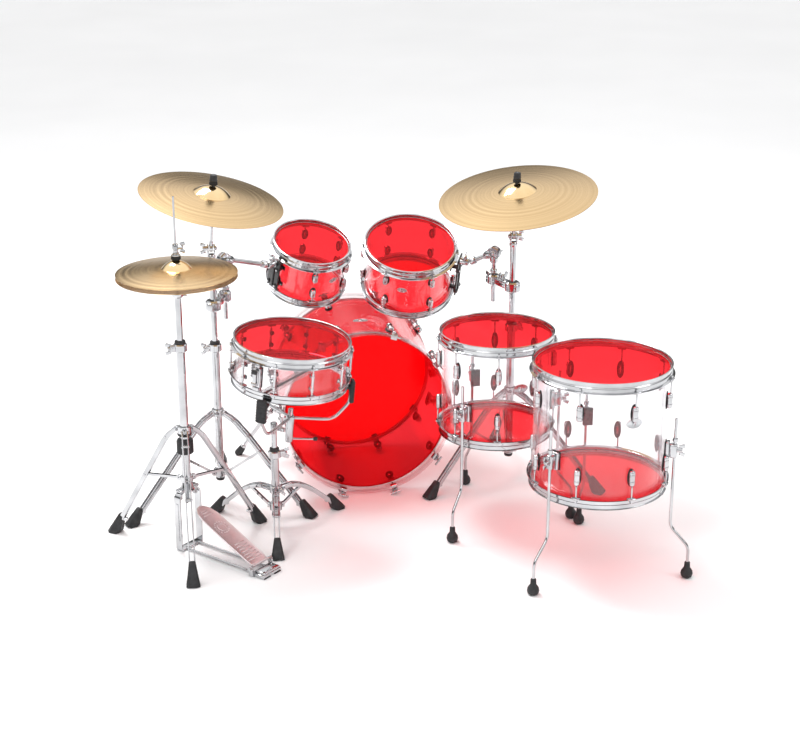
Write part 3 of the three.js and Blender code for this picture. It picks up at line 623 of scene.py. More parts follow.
def drum(name, body, radius, height, lugs, turn, lug_length, lug_in, lower_film=film):
    """The shell, lugs, heads and hoops of one drum. Returns the frame of its rim."""
    place = stance(f"{name}_batter_hoop")
    shell = clear_shell(radius, -height + 0.0104, -0.0104)
    piece(f"{name}_tube", shell, body, [f"{name}_shell"], place)
    metal, pads = [], []
    for z in (-lug_in - lug_length / 2, -height + lug_in + lug_length / 2):
        one, pad = tom_lug(radius, z, lug_length)
        metal.append(round_about(lugs, one, turn))
        pads.append(round_about(lugs, pad, turn))
    if lug_length:
        piece(
            f"{name}_lugs",
            [(joined(metal), chrome), (joined(pads), gasket_rubber)],
            body,
            place=place,
        )
    hoop = steel_hoop(radius, lugs, turn, lug_in + 0.004)
    top = -0.0092
    under = Matrix.Translation((0, 0, -height)) @ mirror
    piece(
        f"{name}_batter_film", film_head(radius, top, 0.0031), body, [f"{name}_batter_head"],
        place,
    )
    piece(f"{name}_top_hoop", [(hoop, chrome)], body, [f"{name}_batter_hoop"], place)
    low = [(moved(s, under), m) for s, m in film_head(radius, top, 0.0031, lower_film)]
    piece(f"{name}_lower_film", low, body, [f"{name}_bottom_head"], place)
    piece(
        f"{name}_lower_hoop", [(moved(hoop, under), chrome)], body, [f"{name}_bottom_head"], place
    )
    return place


radius_10, height_10 = 0.127, 0.19
radius_12, height_12 = 0.1524, 0.216
radius_14, height_14 = 0.1778, 0.35
radius_16, height_16 = 0.2032, 0.402
tom_10 = drum("tom_10", "tom_10", radius_10, height_10, 6, 273, 0.034, 0.046)
tom_12 = drum("tom_12", "tom_12", radius_12, height_12, 6, 290, 0.034, 0.046)
floor_14 = drum("floor_tom_14", "floor_set", radius_14, height_14, 8, 259.5, 0.05, 0.074)
floor_16 = drum("floor_tom_16", "floor_set", radius_16, height_16, 8, 237, 0.05, 0.074)

piece("tom_10_vent", vent_and_badge(306, -0.087, radius_10, 0.034, 0.02), "tom_10", place=tom_10)
piece("tom_12_vent", vent_and_badge(252, -0.092, radius_12, 0.034, 0.02), "tom_12", place=tom_12)
piece("floor_tom_14_badge", vent_and_badge(283, -0.144, radius_14), "floor_set", place=floor_14)
piece("floor_tom_16_badge", vent_and_badge(283, -0.132, radius_16), "floor_set", place=floor_16)

# ---- Tom brackets and arms ---------------------------------------------------------------------------
# Each rack tom hangs on a black steel plate held off the shell by rubber bushes. A chrome arm with a
# cast elbow comes from the cymbal stand's clamp and ends in the plate's socket.
black_metal = coated(
    "black_enamel", ((0.008, 0.008, 0.009), (0.02, 0.02, 0.021)), (0.18, 0.34), 0, 26, 0.00005, 520
)
nylon = coated(
    "black_nylon", ((0.012, 0.012, 0.013), (0.028, 0.028, 0.03)), (0.35, 0.55), 0, 80, 0.00006, 640
)


def tom_bracket(name, place, radius, height, turn, socket_z):
    out = radius + 0.027
    high, low = socket_z + 0.014, -height + 0.046
    middle = (high + low) / 2
    plate = brick((0.006, 0.056, high - low), (out, 0, middle), 0.0028, 3)
    rib = brick((0.005, 0.012, high - low - 0.02), (out + 0.0045, 0, middle), 0.002, 3)
    feet = []
    bushes = []
    bolts = []
    for z in (-0.062, -height + 0.062):
        feet.append(brick((0.004, 0.05, 0.016), (radius + 0.0025, 0, z), 0.0018, 3))
        feet.append(brick((0.022, 0.014, 0.01), (radius + 0.0135, 0, z), 0.002, 3))
        for y in (-0.018, 0.018):
            bush = lathe(
                [
                    (0, 0), (0.0075, 0.0), (0.0085, 0.003), (0.0068, 0.006), (0.0085, 0.009),
                    (0.0075, 0.012), (0, 0.012),
                ],
                24,
            )
            bushes.append(moved(bush, aim((out - 0.006, y, z), (1, 0, 0))))
            bolt = lathe([(0, 0), (0.0042, 0), (0.0042, 0.002), (0.0026, 0.0036), (0, 0.0036)], 20)
            bolts.append(moved(bolt, aim((out + 0.006, y, z), (1, 0, 0))))
    socket = lathe(
        [
            (0.0085, 0), (0.015, 0), (0.015, 0.006), (0.0132, 0.008), (0.0132, 0.026), (0.0115, 0.029),
            (0.0085, 0.029),
        ],
        32,
    )
    socket = moved(socket, aim((out + 0.003, 0, socket_z), (1, 0, 0)))
    screw = wing_nut((out + 0.018, 0, socket_z + 0.013), (0, 0, 1), 0.032, (0, 1, 0))
    spin = Matrix.Rotation(math.radians(turn), 4, "Z")
    dark = moved(joined([plate, rib, *feet]), spin)
    bright = moved(joined([socket, screw, *bolts]), spin)
    layers = [(dark, black_metal), (moved(joined(bushes), spin), gasket_rubber), (bright, chrome)]
    piece(f"{name}_bracket", layers, name, place=place)


tom_bracket("tom_10", tom_10, radius_10, height_10, 213, -0.042)
tom_bracket("tom_12", tom_12, radius_12, height_12, 335, -0.030)


clamp_z = 0.702


def tom_arm(side, tom):
    elbow = pin_of(f"{side}_arm_swivel")
    socket = pin_of(f"{tom}_tilt")
    run = socket - elbow
    flat = Vector((run.x, run.y, 0)).normalized()
    foot = Vector((elbow.x, elbow.y, clamp_z - 0.08))
    stem = rod([foot, elbow - Vector((0, 0, 0.012))], 0.0081, sides=28)
    lock = moved(capsule(0.0125, 0.022, sides=28), Matrix.Translation((elbow.x, elbow.y, clamp_z + 0.03)))
    way = run.normalized()
    across = run.cross(Vector((0, 0, 1))).normalized()
    drum_line = [(0, -0.0125), (0.019, -0.0125), (0.0225, -0.0095), (0.0225, -0.002), (0.021, -0.001)]
    drum_line += [(r, -z) for r, z in reversed(drum_line)]
    housing = turned(drum_line, 40, elbow, across)
    seam = moved(pipe_ring(0.019, 0.0216, -0.001, 0.001, 0.0004), aim(elbow, across))
    cup = lathe([(0, -0.034), (0.0125, -0.034), (0.0145, -0.031), (0.0165, -0.012), (0, -0.004)], 32)
    cup = moved(cup, Matrix.Translation(elbow))
    neck = lathe([(0, 0.008), (0.0165, 0.01), (0.0155, 0.03), (0.0115, 0.038), (0, 0.038)], 32)
    neck = moved(neck, aim(elbow, run))
    bar = rod([elbow + way * 0.02, elbow + way * (run.length - 0.008)], 0.0082, sides=24)
    end = lathe(
        [(0, -0.03), (0.0115, -0.03), (0.014, -0.026), (0.014, -0.012), (0.0115, -0.009), (0, -0.009)], 32
    )
    end = moved(end, aim(socket, run))
    key = wing_nut(elbow + across * 0.0125, across, 0.036, flat)
    bolt = moved(capsule(0.008, 0.01, sides=24), aim(elbow - across * 0.0135, across))
    bright = joined([stem, lock, housing, cup, neck, bar, end, key, bolt])
    piece(
        f"{tom}_arm_rod", [(bright, chrome), (seam, black_metal)], f"{side}_arm",
        [f"{side}_tom_arm"],
    )


tom_arm("left", "tom_10")
tom_arm("right", "tom_12")

# ---- Floor tom legs ----------------------------------------------------------------------------------
# Chrome rods with two bends stand in clamps bolted to the shells, each held by a wing screw. Black
# rubber ball feet take the floor.


def floor_tom_legs(name, body, place, radius, height, step, turns):
    centre = place.translation
    for i, angle in enumerate(turns, 1):
        spin = Matrix.Translation((centre.x, centre.y, 0)) @ Matrix.Rotation(math.radians(angle), 4, "Z")
        out = radius + 0.030
        line = [(out, 0, 0.52), (out, 0, 0.165), (out + step, 0, 0.103), (out + step, 0, 0.012)]
        bar = moved(rod(line, 0.0048, 0.018, 24), spin)
        profile = [(0, 0), (0.011, 0), (0.0165, 0.004), (0.019, 0.013), (0.0175, 0.022), (0.0125, 0.03)]
        profile += [(0.0095, 0.034), (0.0088, 0.05), (0.0065, 0.053), (0, 0.053)]
        foot = moved(lathe(profile, 36), spin @ Matrix.Translation((out + step, 0, 0)))
        ring = lathe([(0.0048, 0), (0.0085, 0), (0.0085, 0.009), (0.0048, 0.009)], 24)
        stop = moved(ring, spin @ Matrix.Translation((out, 0, centre.z - height * 0.66 + 0.031)))
        layers = [(joined([bar, stop]), chrome), (foot, hard_rubber)]
        piece(f"{name}_rod_{i}", layers, f"{body}_leg_{i}", [f"{name}_leg_{i}"])
        z = centre.z - height * 0.66
        saddle = brick((0.012, 0.03, 0.056), (radius + 0.0085, 0, z), 0.004, 3)
        block = brick((0.024, 0.022, 0.046), (radius + 0.026, 0, z), 0.006, 4)
        pad = brick((0.002, 0.033, 0.06), (radius + 0.0012, 0, z), 0.0009)
        screw = wing_nut((radius + 0.038, 0, z + 0.004), (1, 0, 0), 0.036)
        neck = turned(pin_profile(0.006, 0, 0.008), 20, (radius + 0.034, 0, z + 0.004), (1, 0, 0))
        bright = moved(joined([saddle, block, screw, neck]), spin)
        piece(
            f"{name}_leg_clamp_{i}",
            [(bright, chrome), (moved(pad, spin), gasket_rubber)],
            "floor_set",
        )


floor_tom_legs("floor_tom_14", "floor_14", floor_14, radius_14, height_14, 0.052, (227, 100, 343.5))
floor_tom_legs("floor_tom_16", "floor_16", floor_16, radius_16, height_16, 0.06, (216, 84, 332))

# ---- Snare drum --------------------------------------------------------------------------------------
# A clear shell and clear lower head with ten chrome tube lugs. The strainer with its lever stands on the
# left of the shell, and coiled steel wires lie across the lower head.
snare_height = 0.153
snare_film = clear_acrylic("snare_side_film", (0.93, 0.92, 0.925), 0.6, (0.06, 0.18))
snare = drum("snare", "snare_drum", radius_14, snare_height, 10, 249, 0, 0.046, snare_film)


def tube_lug():
    out = radius_14 + 0.012
    tube = rod([(out, 0, -0.044), (out, 0, -0.109)], 0.0042, sides=24)
    posts = []
    pads = []
    for z in (-0.056, -0.097):
        post = lathe([(0, 0), (0.0068, 0), (0.0052, 0.004), (0.0046, 0.011), (0, 0.011)], 24)
        posts.append(moved(post, aim((0.1794, 0, z), (1, 0, 0))))
        collar = lathe([(0.0042, -0.004), (0.0058, -0.003), (0.0058, 0.003), (0.0042, 0.004)], 24)
        posts.append(moved(collar, Matrix.Translation((out, 0, z))))
        pads.append(turned(pin_profile(0.0078, 0, 0.0014), 24, (0.1779, 0, z), (1, 0, 0)))
    return joined([tube, *posts]), joined(pads)


metal, pads = tube_lug()
layers = [(round_about(10, metal, 249), chrome), (round_about(10, pads, 249), gasket_rubber)]
piece("snare_tube_lugs", layers, "snare_drum", place=snare)


def snare_fittings(turn=231):
    z = -0.0765
    spin = Matrix.Rotation(math.radians(turn), 4, "Z")
    body = brick((0.014, 0.026, 0.064), (0.1865, 0, z), 0.003, 3)
    face = brick((0.006, 0.018, 0.05), (0.1955, 0, z), 0.002, 3)
    knob = lathe([(0, 0), (0.008, 0), (0.009, 0.002), (0.009, 0.011), (0.0075, 0.013), (0, 0.013)], 24)
    knob = moved(knob, Matrix.Translation((0.188, 0, z + 0.033)))
    clamp = brick((0.006, 0.022, 0.012), (0.1935, 0, z - 0.037), 0.002, 3)
    butt = brick((0.011, 0.026, 0.032), (0.1845, 0, z - 0.01), 0.003, 3)
    jaw = brick((0.005, 0.022, 0.014), (0.191, 0, z - 0.018), 0.0018, 3)
    butt = moved(joined([butt, jaw]), Matrix.Rotation(math.pi, 4, "Z"))
    pad = brick((0.0016, 0.029, 0.068), (0.1787, 0, z), 0.0007)
    bright = moved(joined([body, face, knob, clamp, butt]), spin)
    layers = [(bright, chrome), (moved(pad, spin), gasket_rubber)]
    piece("snare_strainer", layers, "snare_drum", place=snare)
    # Twenty coiled wires between two end plates, and the flat cord that pulls them tight.
    wires = []
    for k in range(20):
        y = (k - 9.5) * 0.0021
        turns = np.linspace(0, 2 * math.pi * 90, 90 * 6)
        coil = [
            Vector((-0.148 + 0.296 * t / turns[-1], y + 0.0008 * math.cos(t), 0.0008 * math.sin(t)))
            for t in turns
        ]
        wires.append(sweep(coil, [(0.0003, 0), (0, 0.0003), (-0.0003, 0), (0, -0.0003)], (0.1, 0.2, 1)))
    plates = [brick((0.016, 0.044, 0.001), (s * 0.155, 0, 0), 0.0004) for s in (-1, 1)]
    strap = brick((0.36, 0.012, 0.0004), (0, 0, 0.0008), 0.0001)
    level = Matrix.Translation((0, 0, 0.0065 - snare_height)) @ Matrix.Rotation(math.radians(turn), 4, "Z")
    layers = [(moved(joined([*wires, *plates]), level), chrome), (moved(strap, level), nylon)]
    piece("snare_wires", layers, "snare_drum", place=snare)


snare_fittings()


def throw_off():
    pin = pin_of("throw_off")
    lift = snare.to_3x3() @ Matrix.Rotation(math.radians(231), 3, "Z")
    place = Matrix.Translation(pin) @ lift.to_4x4()
    arm = brick((0.006, 0.013, 0.046), (0, 0, 0.022), 0.0024, 3)
    tip = brick((0.0105, 0.018, 0.014), (0.002, 0, 0.04), 0.004, 3)
    hub = turned(pin_profile(0.0055, -0.009, 0.009), 24, (0, 0, 0), (0, 1, 0))
    layers = [(joined([arm, hub]), chrome), (tip, nylon)]
    piece("snare_lever", layers, "snare_lever", ["snare_throw_off_lever"], place)


throw_off()

# ---- Tripods and stand tubes -------------------------------------------------------------------------
# Every stand has three legs, each of two pressed steel rails riveted side by side, with struts between
# them and a tapered rubber foot. The tubes slide in nylon bushings under wing screws.


def tripod_leg(path, foot):
    """One leg in the XZ plane, out along +X: its rails and rivets, and its rubber foot."""
    line = rounded([(x, 0, z) for x, z in path], 0.03, 5)
    bar = [(-0.0022, -0.0058), (-0.001, -0.0074), (0.001, -0.0074), (0.0022, -0.0058)]
    bar += [(-x, -z) for x, z in bar]
    rails = [sweep([p + Vector((0, y, 0)) for p in line], bar) for y in (-0.0082, 0.0082)]
    rivets = []
    for x, z in path[:-1]:
        stud = lathe(
            [
                (0, -0.0125), (0.003, -0.0125), (0.0045, -0.0108), (0.0045, 0.0108), (0.003, 0.0125),
                (0, 0.0125),
            ],
            16,
        )
        rivets.append(moved(stud, aim((x, 0, z), (0, 1, 0))))
    x, z = path[-1]
    spacer = brick((0.02, 0.0135, 0.01), (x - 0.02, 0, z + 0.014), 0.002)
    start = Vector((x - (foot - x) * 0.75, 0, z + 0.03))
    end = Vector((foot + 0.006, 0, -0.006))
    sole = [(-1, -0.62), (-0.62, -1), (0.62, -1), (1, -0.62), (1, 0.62), (0.62, 1), (-0.62, 1), (-1, 0.62)]
    steps = [start + (end - start) * t for t in (0, 0.04, 0.3, 0.36, 0.62, 0.68, 0.97, 1)]
    wide = [0.008, 0.0105, 0.0135, 0.0145, 0.0175, 0.0185, 0.0215, 0.0205]
    rubber = sweep(steps, sole, sizes=wide)
    rubber = [(a, b, max(c, 0.0)) for a, b, c in rubber[0]], rubber[1]
    return joined([*rails, *rivets, spacer]), rubber


def strut(low, high):
    """A pressed strut between a low hub and a leg, in the XZ plane."""
    line = [Vector((low[0], 0, low[1])), Vector((high[0], 0, high[1]))]
    channel = [(-0.0045, -0.004), (0.0045, -0.004), (0.0045, 0.004), (0.0034, 0.004), (0.0034, -0.0028)]
    channel += [(-0.0034, -0.0028), (-0.0034, 0.004), (-0.0045, 0.004)]
    return sweep(line, channel)


def hub(radius, low, high, ears, out):
    """A turned collar with a forked ear for each leg."""
    ease = 0.002
    body = [
        (radius, low), (radius + 0.007 - ease, low), (radius + 0.007, low + ease),
        (radius + 0.007, high - ease),
    ]
    body = lathe([*body, (radius + 0.007 - ease, high), (radius, high)], 40)
    forks = []
    for angle in ears:
        fork = [
            brick((0.02, 0.0024, 0.018), (out - 0.004, y, (low + high) / 2), 0.0011)
            for y in (-0.0045, 0.0045)
        ]
        pin = turned(pin_profile(0.0028, -0.0095, 0.0095), 16, (out, 0, (low + high) / 2), (0, 1, 0))
        forks.append(moved(joined([*fork, pin]), Matrix.Rotation(math.radians(angle), 4, "Z")))
    return joined([body, *forks])


def tube_clamp(radius, z, turn):
    """A height clamp: a black bushing, a cast chrome band with two lugs, and a wing screw."""
    bushing = pipe_ring(radius - 0.0028, radius + 0.003, z + 0.006, z + 0.018)
    band = pipe_ring(radius, radius + 0.008, z - 0.017, z + 0.008, 0.003)
    ears = brick((0.02, 0.016, 0.022), (radius + 0.012, 0, z - 0.004), 0.004, 3)
    screw = wing_nut((radius + 0.012, 0, z - 0.004), (1, 0, 0), 0.036)
    spin = Matrix.Rotation(math.radians(turn), 4, "Z")
    return joined([band, moved(joined([ears, screw]), spin)]), bushing


def stand_base(name, at, legs, tripod, radius, low, high, clamp_turn, node):
    """The lower tube, hubs, legs and struts of a stand that stays open."""
    metal, rubber = [pipe_ring(radius - 0.002, radius, low, high)], []
    for z in (tripod["collar"], tripod["low"]):
        metal.append(hub(radius, z - 0.013, z + 0.013, legs, 0.024))
    for angle in legs:
        spin = Matrix.Rotation(math.radians(angle), 4, "Z")
        rails, foot = tripod_leg(tripod["path"], tripod["foot"])
        brace = strut((0.024, tripod["low"]), tripod["path"][tripod["joint"]])
        metal.append(moved(joined([rails, brace]), spin))
        rubber.append(moved(foot, spin))
    clamp, bushing = tube_clamp(radius, high, clamp_turn)
    plug = lathe(
        [
            (0, low - 0.004), (radius - 0.001, low - 0.004), (radius + 0.001, low),
            (radius + 0.001, low + 0.006), (0, low + 0.006),
        ],
        40,
    )
    key_turn = Matrix.Rotation(math.radians(legs[0] + 55), 3, "Z")
    key = wing_nut(
        key_turn @ Vector((radius + 0.006, 0, tripod["collar"])), key_turn @ Vector((1, 0, 0)), 0.03
    )
    layers = [
        (joined([*metal, clamp, key]), chrome), (joined([*rubber, plug]), hard_rubber), (bushing, nylon)
    ]
    piece(name, layers, "floor_set", [node], Matrix.Translation((at.x, at.y, 0)))


cymbal_tripod = {
    "collar": 0.325,
    "low": 0.108,
    "joint": 3,
    "foot": 0.338,
    "path": [(0.022, 0.325), (0.061, 0.306), (0.113, 0.256), (0.156, 0.207), (0.320, 0.024)],
}
left_at = pin_of("left_tilt")
right_at = pin_of("right_tilt")
stand_base(
    "left_stand_tripod", left_at, (207, 328, 87), cymbal_tripod, 0.014, 0.083, 0.56, 195, "left_stand_base"
)
stand_base(
    "right_stand_tripod", right_at, (205, 325, 85), cymbal_tripod, 0.014, 0.083, 0.56, 20,
    "right_stand_base",
)

# ---- Cymbal stand tops -------------------------------------------------------------------------------
# The upper tube slides in the lower one. It carries a two-armed clamp for the tom and ends in the fork
# of a toothed tilter, whose rod holds the cymbal between felts on a black sleeve under a black cap.
felt = coated("black_felt", ((0.008, 0.008, 0.009), (0.03, 0.03, 0.032)), (0.85, 1.0), 0, 240, 0.0006, 1200)


def upper_tube(side, at, clamp_turn):
    tilter = at.z
    tube = pipe_ring(0.008, 0.0104, 0.4, tilter - 0.024)
    cap = lathe(
        [
            (0, tilter - 0.036), (0.0125, tilter - 0.036), (0.0135, tilter - 0.03),
            (0.0135, tilter - 0.024), (0.011, tilter - 0.02), (0, tilter - 0.02),
        ],
        40,
    )
    cheeks = []
    for x in (-0.0105, 0.0105):
        disc = lathe(
            [
                (0, -0.0025), (0.0125, -0.0025), (0.0135, -0.0015), (0.0135, 0.0015), (0.0125, 0.0025),
                (0, 0.0025),
            ],
            40,
        )
        cheeks.append(moved(disc, aim((x, 0, tilter), (1, 0, 0))))
        cheeks.append(brick((0.005, 0.018, 0.026), (x, 0, tilter - 0.017), 0.0018))
    sign = -1 if side == "left" else 1
    screw = wing_nut((sign * 0.013, 0, tilter), (sign, 0, 0), 0.034)
    bolt = moved(capsule(0.007, 0.01, sides=20), aim((-sign * 0.0145, 0, tilter), (1, 0, 0)))
    z = clamp_z
    grip = pipe_ring(0.0104, 0.0262, z - 0.018, z + 0.018, 0.005)
    bridge = brick((0.068, 0.029, 0.029), (0.0525, 0, z), 0.007, 3)
    slot_line = brick((0.056, 0.0302, 0.0026), (0.054, 0, z), 0.0008)
    socket = moved(pipe_ring(0.0092, 0.022, z - 0.018, z + 0.018, 0.005), Matrix.Translation((0.105, 0, 0)))
    keys = [
        wing_nut((0.052, 0, z + 0.0135), (0, 0, 1), 0.038, (0, 1, 0)),
        wing_nut((0.124, 0, z), (1, 0, 0), 0.038),
    ]
    back = brick((0.016, 0.024, 0.028), (-0.024, 0, z), 0.006, 3)
    turn = Matrix.Rotation(math.radians(clamp_turn), 4, "Z")
    arms = moved(joined([bridge, socket, back, *keys]), turn)
    layers = [
        (joined([tube, cap, *cheeks, screw, bolt, grip, arms]), chrome), (moved(slot_line, turn), nylon)
    ]
    place = Matrix.Translation((at.x, at.y, 0))
    piece(f"{side}_upper_tube", layers, f"{side}_tube", [f"{side}_stand_upper_tube"], place)


def tilter_rod(side, at, crown, lean):
    """The toothed block, rod, sleeve, felts and cap. Crown is the way along the rod to the bell."""
    gear = [
        (0, -0.0055), (0.0105, -0.0055), (0.0115, -0.0045), (0.0115, 0.0045), (0.0105, 0.0055), (0, 0.0055)
    ]
    gear = turned(gear, 36, (0, 0, 0), (1, 0, 0))
    neck = lathe([(0, 0.006), (0.0072, 0.006), (0.0062, 0.022), (0, 0.022)], 24)
    stem = rod([(0, 0, 0.012), (0, 0, crown + 0.04)], 0.004, sides=20)
    seat = lathe(
        [
            (0, crown - 0.03), (0.0085, crown - 0.03), (0.016, crown - 0.0225), (0.016, crown - 0.02),
            (0, crown - 0.02),
        ],
        32,
    )
    low_felt = lathe(
        [
            (0.004, crown - 0.0195), (0.0145, crown - 0.0195), (0.016, crown - 0.016),
            (0.0155, crown - 0.008), (0.013, crown - 0.0068), (0.004, crown - 0.0068),
        ],
        36,
    )
    top_felt = lathe(
        [
            (0.004, crown + 0.0062), (0.0125, crown + 0.0062), (0.014, crown + 0.009),
            (0.0135, crown + 0.0145), (0.0115, crown + 0.0165), (0.004, crown + 0.0165),
        ],
        36,
    )
    sleeve = lathe(
        [
            (0.0041, crown - 0.006), (0.0056, crown - 0.006), (0.0056, crown + 0.022),
            (0.0072, crown + 0.024), (0.0068, crown + 0.034), (0.0041, crown + 0.034),
        ],
        28,
    )
    nut = [
        (0.0068, crown + 0.0168), (0.0115, crown + 0.0168), (0.0128, crown + 0.019), (0.0128, crown + 0.024)
    ]
    nut += [(0.0118, crown + 0.026), (0.0118, crown + 0.036), (0.0098, crown + 0.0395), (0, crown + 0.04)]
    nut = lathe([*nut, (0, crown + 0.034)], 32)
    bright = joined([gear, neck, stem, seat])
    layers = [(bright, chrome), (joined([low_felt, top_felt]), felt), (joined([sleeve, nut]), nylon)]
    piece(f"{side}_cymbal_rod", layers, f"{side}_tilter", [f"{side}_stand_tilter"], aim(at, lean))


crash_place, ride_place = stance("crash_cymbal"), stance("ride_cymbal")


def rod_way(at, cymbal_place, drop):
    """The tilter rod's direction, and how far along it the cymbal's crown lies."""
    top = cymbal_place.translation - cymbal_place.to_3x3() @ Vector((0, 0, drop))
    return (top - at).length, top - at


upper_tube("left", left_at, 65.6)
upper_tube("right", right_at, 115)
for side, at, place in (("left", left_at, crash_place), ("right", right_at, ride_place)):
    crown, lean = rod_way(at, place, 0.0012)
    tilter_rod(side, at, crown, lean)

# ---- Cymbals -----------------------------------------------------------------------------------------
# Cast bronze, hammered and lathed in fine rings, with a brighter polished bell. Each is a thin bowed
# plate with a hole in the middle of the bell.


def lathed_bronze():
    """Bronze with rings cut by the lathe and soft hammer marks."""
    material, tree, main = new_material("cymbal_bronze")
    links = tree.links.new
    main.inputs["Metallic"].default_value = 1
    where = tree.nodes.new("ShaderNodeTexCoord")
    flat = tree.nodes.new("ShaderNodeVectorMath")
    flat.operation = "MULTIPLY"
    flat.inputs[1].default_value = (1, 1, 0)
    far = tree.nodes.new("ShaderNodeVectorMath")
    far.operation = "LENGTH"
    links(where.outputs["Object"], flat.inputs[0])
    links(flat.outputs["Vector"], far.inputs[0])
    rings = tree.nodes.new("ShaderNodeTexNoise")
    rings.noise_dimensions = "1D"
    rings.inputs["Scale"].default_value = 700
    rings.inputs["Detail"].default_value = 3
    links(far.outputs["Value"], rings.inputs["W"])
    bands = tree.nodes.new("ShaderNodeTexNoise")
    bands.noise_dimensions = "1D"
    bands.inputs["Scale"].default_value = 90
    links(far.outputs["Value"], bands.inputs["W"])
    shades(tree, bands.outputs["Fac"], ((0.62, 0.43, 0.22), (0.70, 0.50, 0.27)), main.inputs["Base Color"])
    between(tree, bands.outputs["Fac"], 0.2, 0.26, main.inputs["Roughness"])
    hammer = tree.nodes.new("ShaderNodeTexVoronoi")
    hammer.inputs["Scale"].default_value = 38
    links(where.outputs["Object"], hammer.inputs["Vector"])
    cut = tree.nodes.new("ShaderNodeBump")
    cut.inputs["Distance"].default_value = 0.00005
    cut.inputs["Strength"].default_value = 0.5
    links(rings.outputs["Fac"], cut.inputs["Height"])
    dents = tree.nodes.new("ShaderNodeBump")
    dents.inputs["Distance"].default_value = 0.0004
    dents.inputs["Strength"].default_value = 0.12
    links(hammer.outputs["Distance"], dents.inputs["Height"])
    links(cut.outputs["Normal"], dents.inputs["Normal"])
    links(dents.outputs["Normal"], main.inputs["Normal"])
    return material


bronze = lathed_bronze()
bell_bronze = coated(
    "polished_bell", ((0.80, 0.58, 0.31), (0.88, 0.66, 0.38)), (0.06, 0.12), 1, 18, 0.00005, 260
)


def cymbal_plate(name, body, place, radius, bell, bow, rise, thick, hole=0.0065, upside_down=False):
    """The plate with its crown at height 0, or turned over with its rim there."""
    deep = bow + rise

    def height(r):
        if r < bell:
            return deep - rise * (r / bell) ** 2.2
        t = (r - bell) / (radius - bell)
        return bow * (1 - t**1.35)

    bell_radii = list(np.linspace(hole, bell, 14))
    bow_radii = [bell + (radius - bell) * t for t in np.linspace(0, 1, 26)]

    def skin(radii, lift):
        return [(r, height(r) - deep - thick + lift) for r in radii]

    top_bell = lathe(skin(bell_radii, thick), 128, closed=False)
    rest = skin(bow_radii, thick) + [(radius + 0.0003, -deep - thick / 2)]
    rest += skin(bow_radii, 0)[::-1] + skin(bell_radii, 0)[::-1] + [(hole, -thick)]
    plate = lathe(rest + skin(bell_radii[:1], thick), 128, closed=False)
    if upside_down:
        flip = Matrix.Translation((0, 0, -deep - thick)) @ mirror
        top_bell, plate = moved(top_bell, flip), moved(plate, flip)
    piece(f"{name}_plate", [(plate, bronze), (top_bell, bell_bronze)], body, [name], place, 30)


cymbal_plate("crash_cymbal", "crash", crash_place, 0.235, 0.060, 0.020, 0.024, 0.0012)
cymbal_plate("ride_cymbal", "ride", ride_place, 0.2667, 0.064, 0.022, 0.026, 0.0015)
cymbal_plate(
    "hihat_top_cymbal", "hat_clutch", stance("hihat_top_cymbal"), 0.185, 0.046, 0.014, 0.024, 0.0012
)
cymbal_plate(
    "hihat_bottom_cymbal", "hat_tube", stance("hihat_bottom_cymbal"), 0.185, 0.046, 0.014, 0.024, 0.0012,
    0.008, True,
)

# ---- Snare stand -------------------------------------------------------------------------------------
# A low tripod whose tube carries a tilting basket. Three bent chrome arms end in ribbed rubber grips
# under the drum's lower hoop, and a long threaded hub with a flat lever closes them.
snare_tripod = {
    "collar": 0.134,
    "low": 0.072,
    "joint": 2,
    "foot": 0.240,
    "path": [(0.020, 0.134), (0.060, 0.137), (0.100, 0.124), (0.140, 0.098), (0.222, 0.026)],
}
basket_at = pin_of("snare_tilt")
snare_tube_at = basket_at - Vector((0.046, -0.048, 0))
stand_base(
    "snare_stand_tripod", snare_tube_at, (266, 142, 26), snare_tripod, 0.013, 0.04, 0.262, 5,
    "snare_stand_base",
)


def snare_upper_tube():
    tube = rod([(0, 0, 0.11), (0, 0, 0.362)], 0.0095, sides=32)
    away = Vector((0.046, -0.048, 0))
    turn = Matrix.Rotation(math.atan2(away.y, away.x), 4, "Z")
    arm = moved(brick((0.05, 0.013, 0.015), (0.021, 0, 0.352), 0.004, 3), turn)
    cap = lathe([(0, 0.34), (0.0125, 0.34), (0.0125, 0.364), (0.0105, 0.368), (0, 0.368)], 36)
    screw = wing_nut(turn @ Vector((0.018, -0.0075, 0.352)), turn.to_3x3() @ Vector((0, -1, 0)), 0.03)
    layers = [(joined([tube, arm, cap, screw]), chrome)]
    place = Matrix.Translation((snare_tube_at.x, snare_tube_at.y, 0))
    piece("snare_stand_tube", layers, "snare_tube", ["snare_stand_upper_tube"], place)


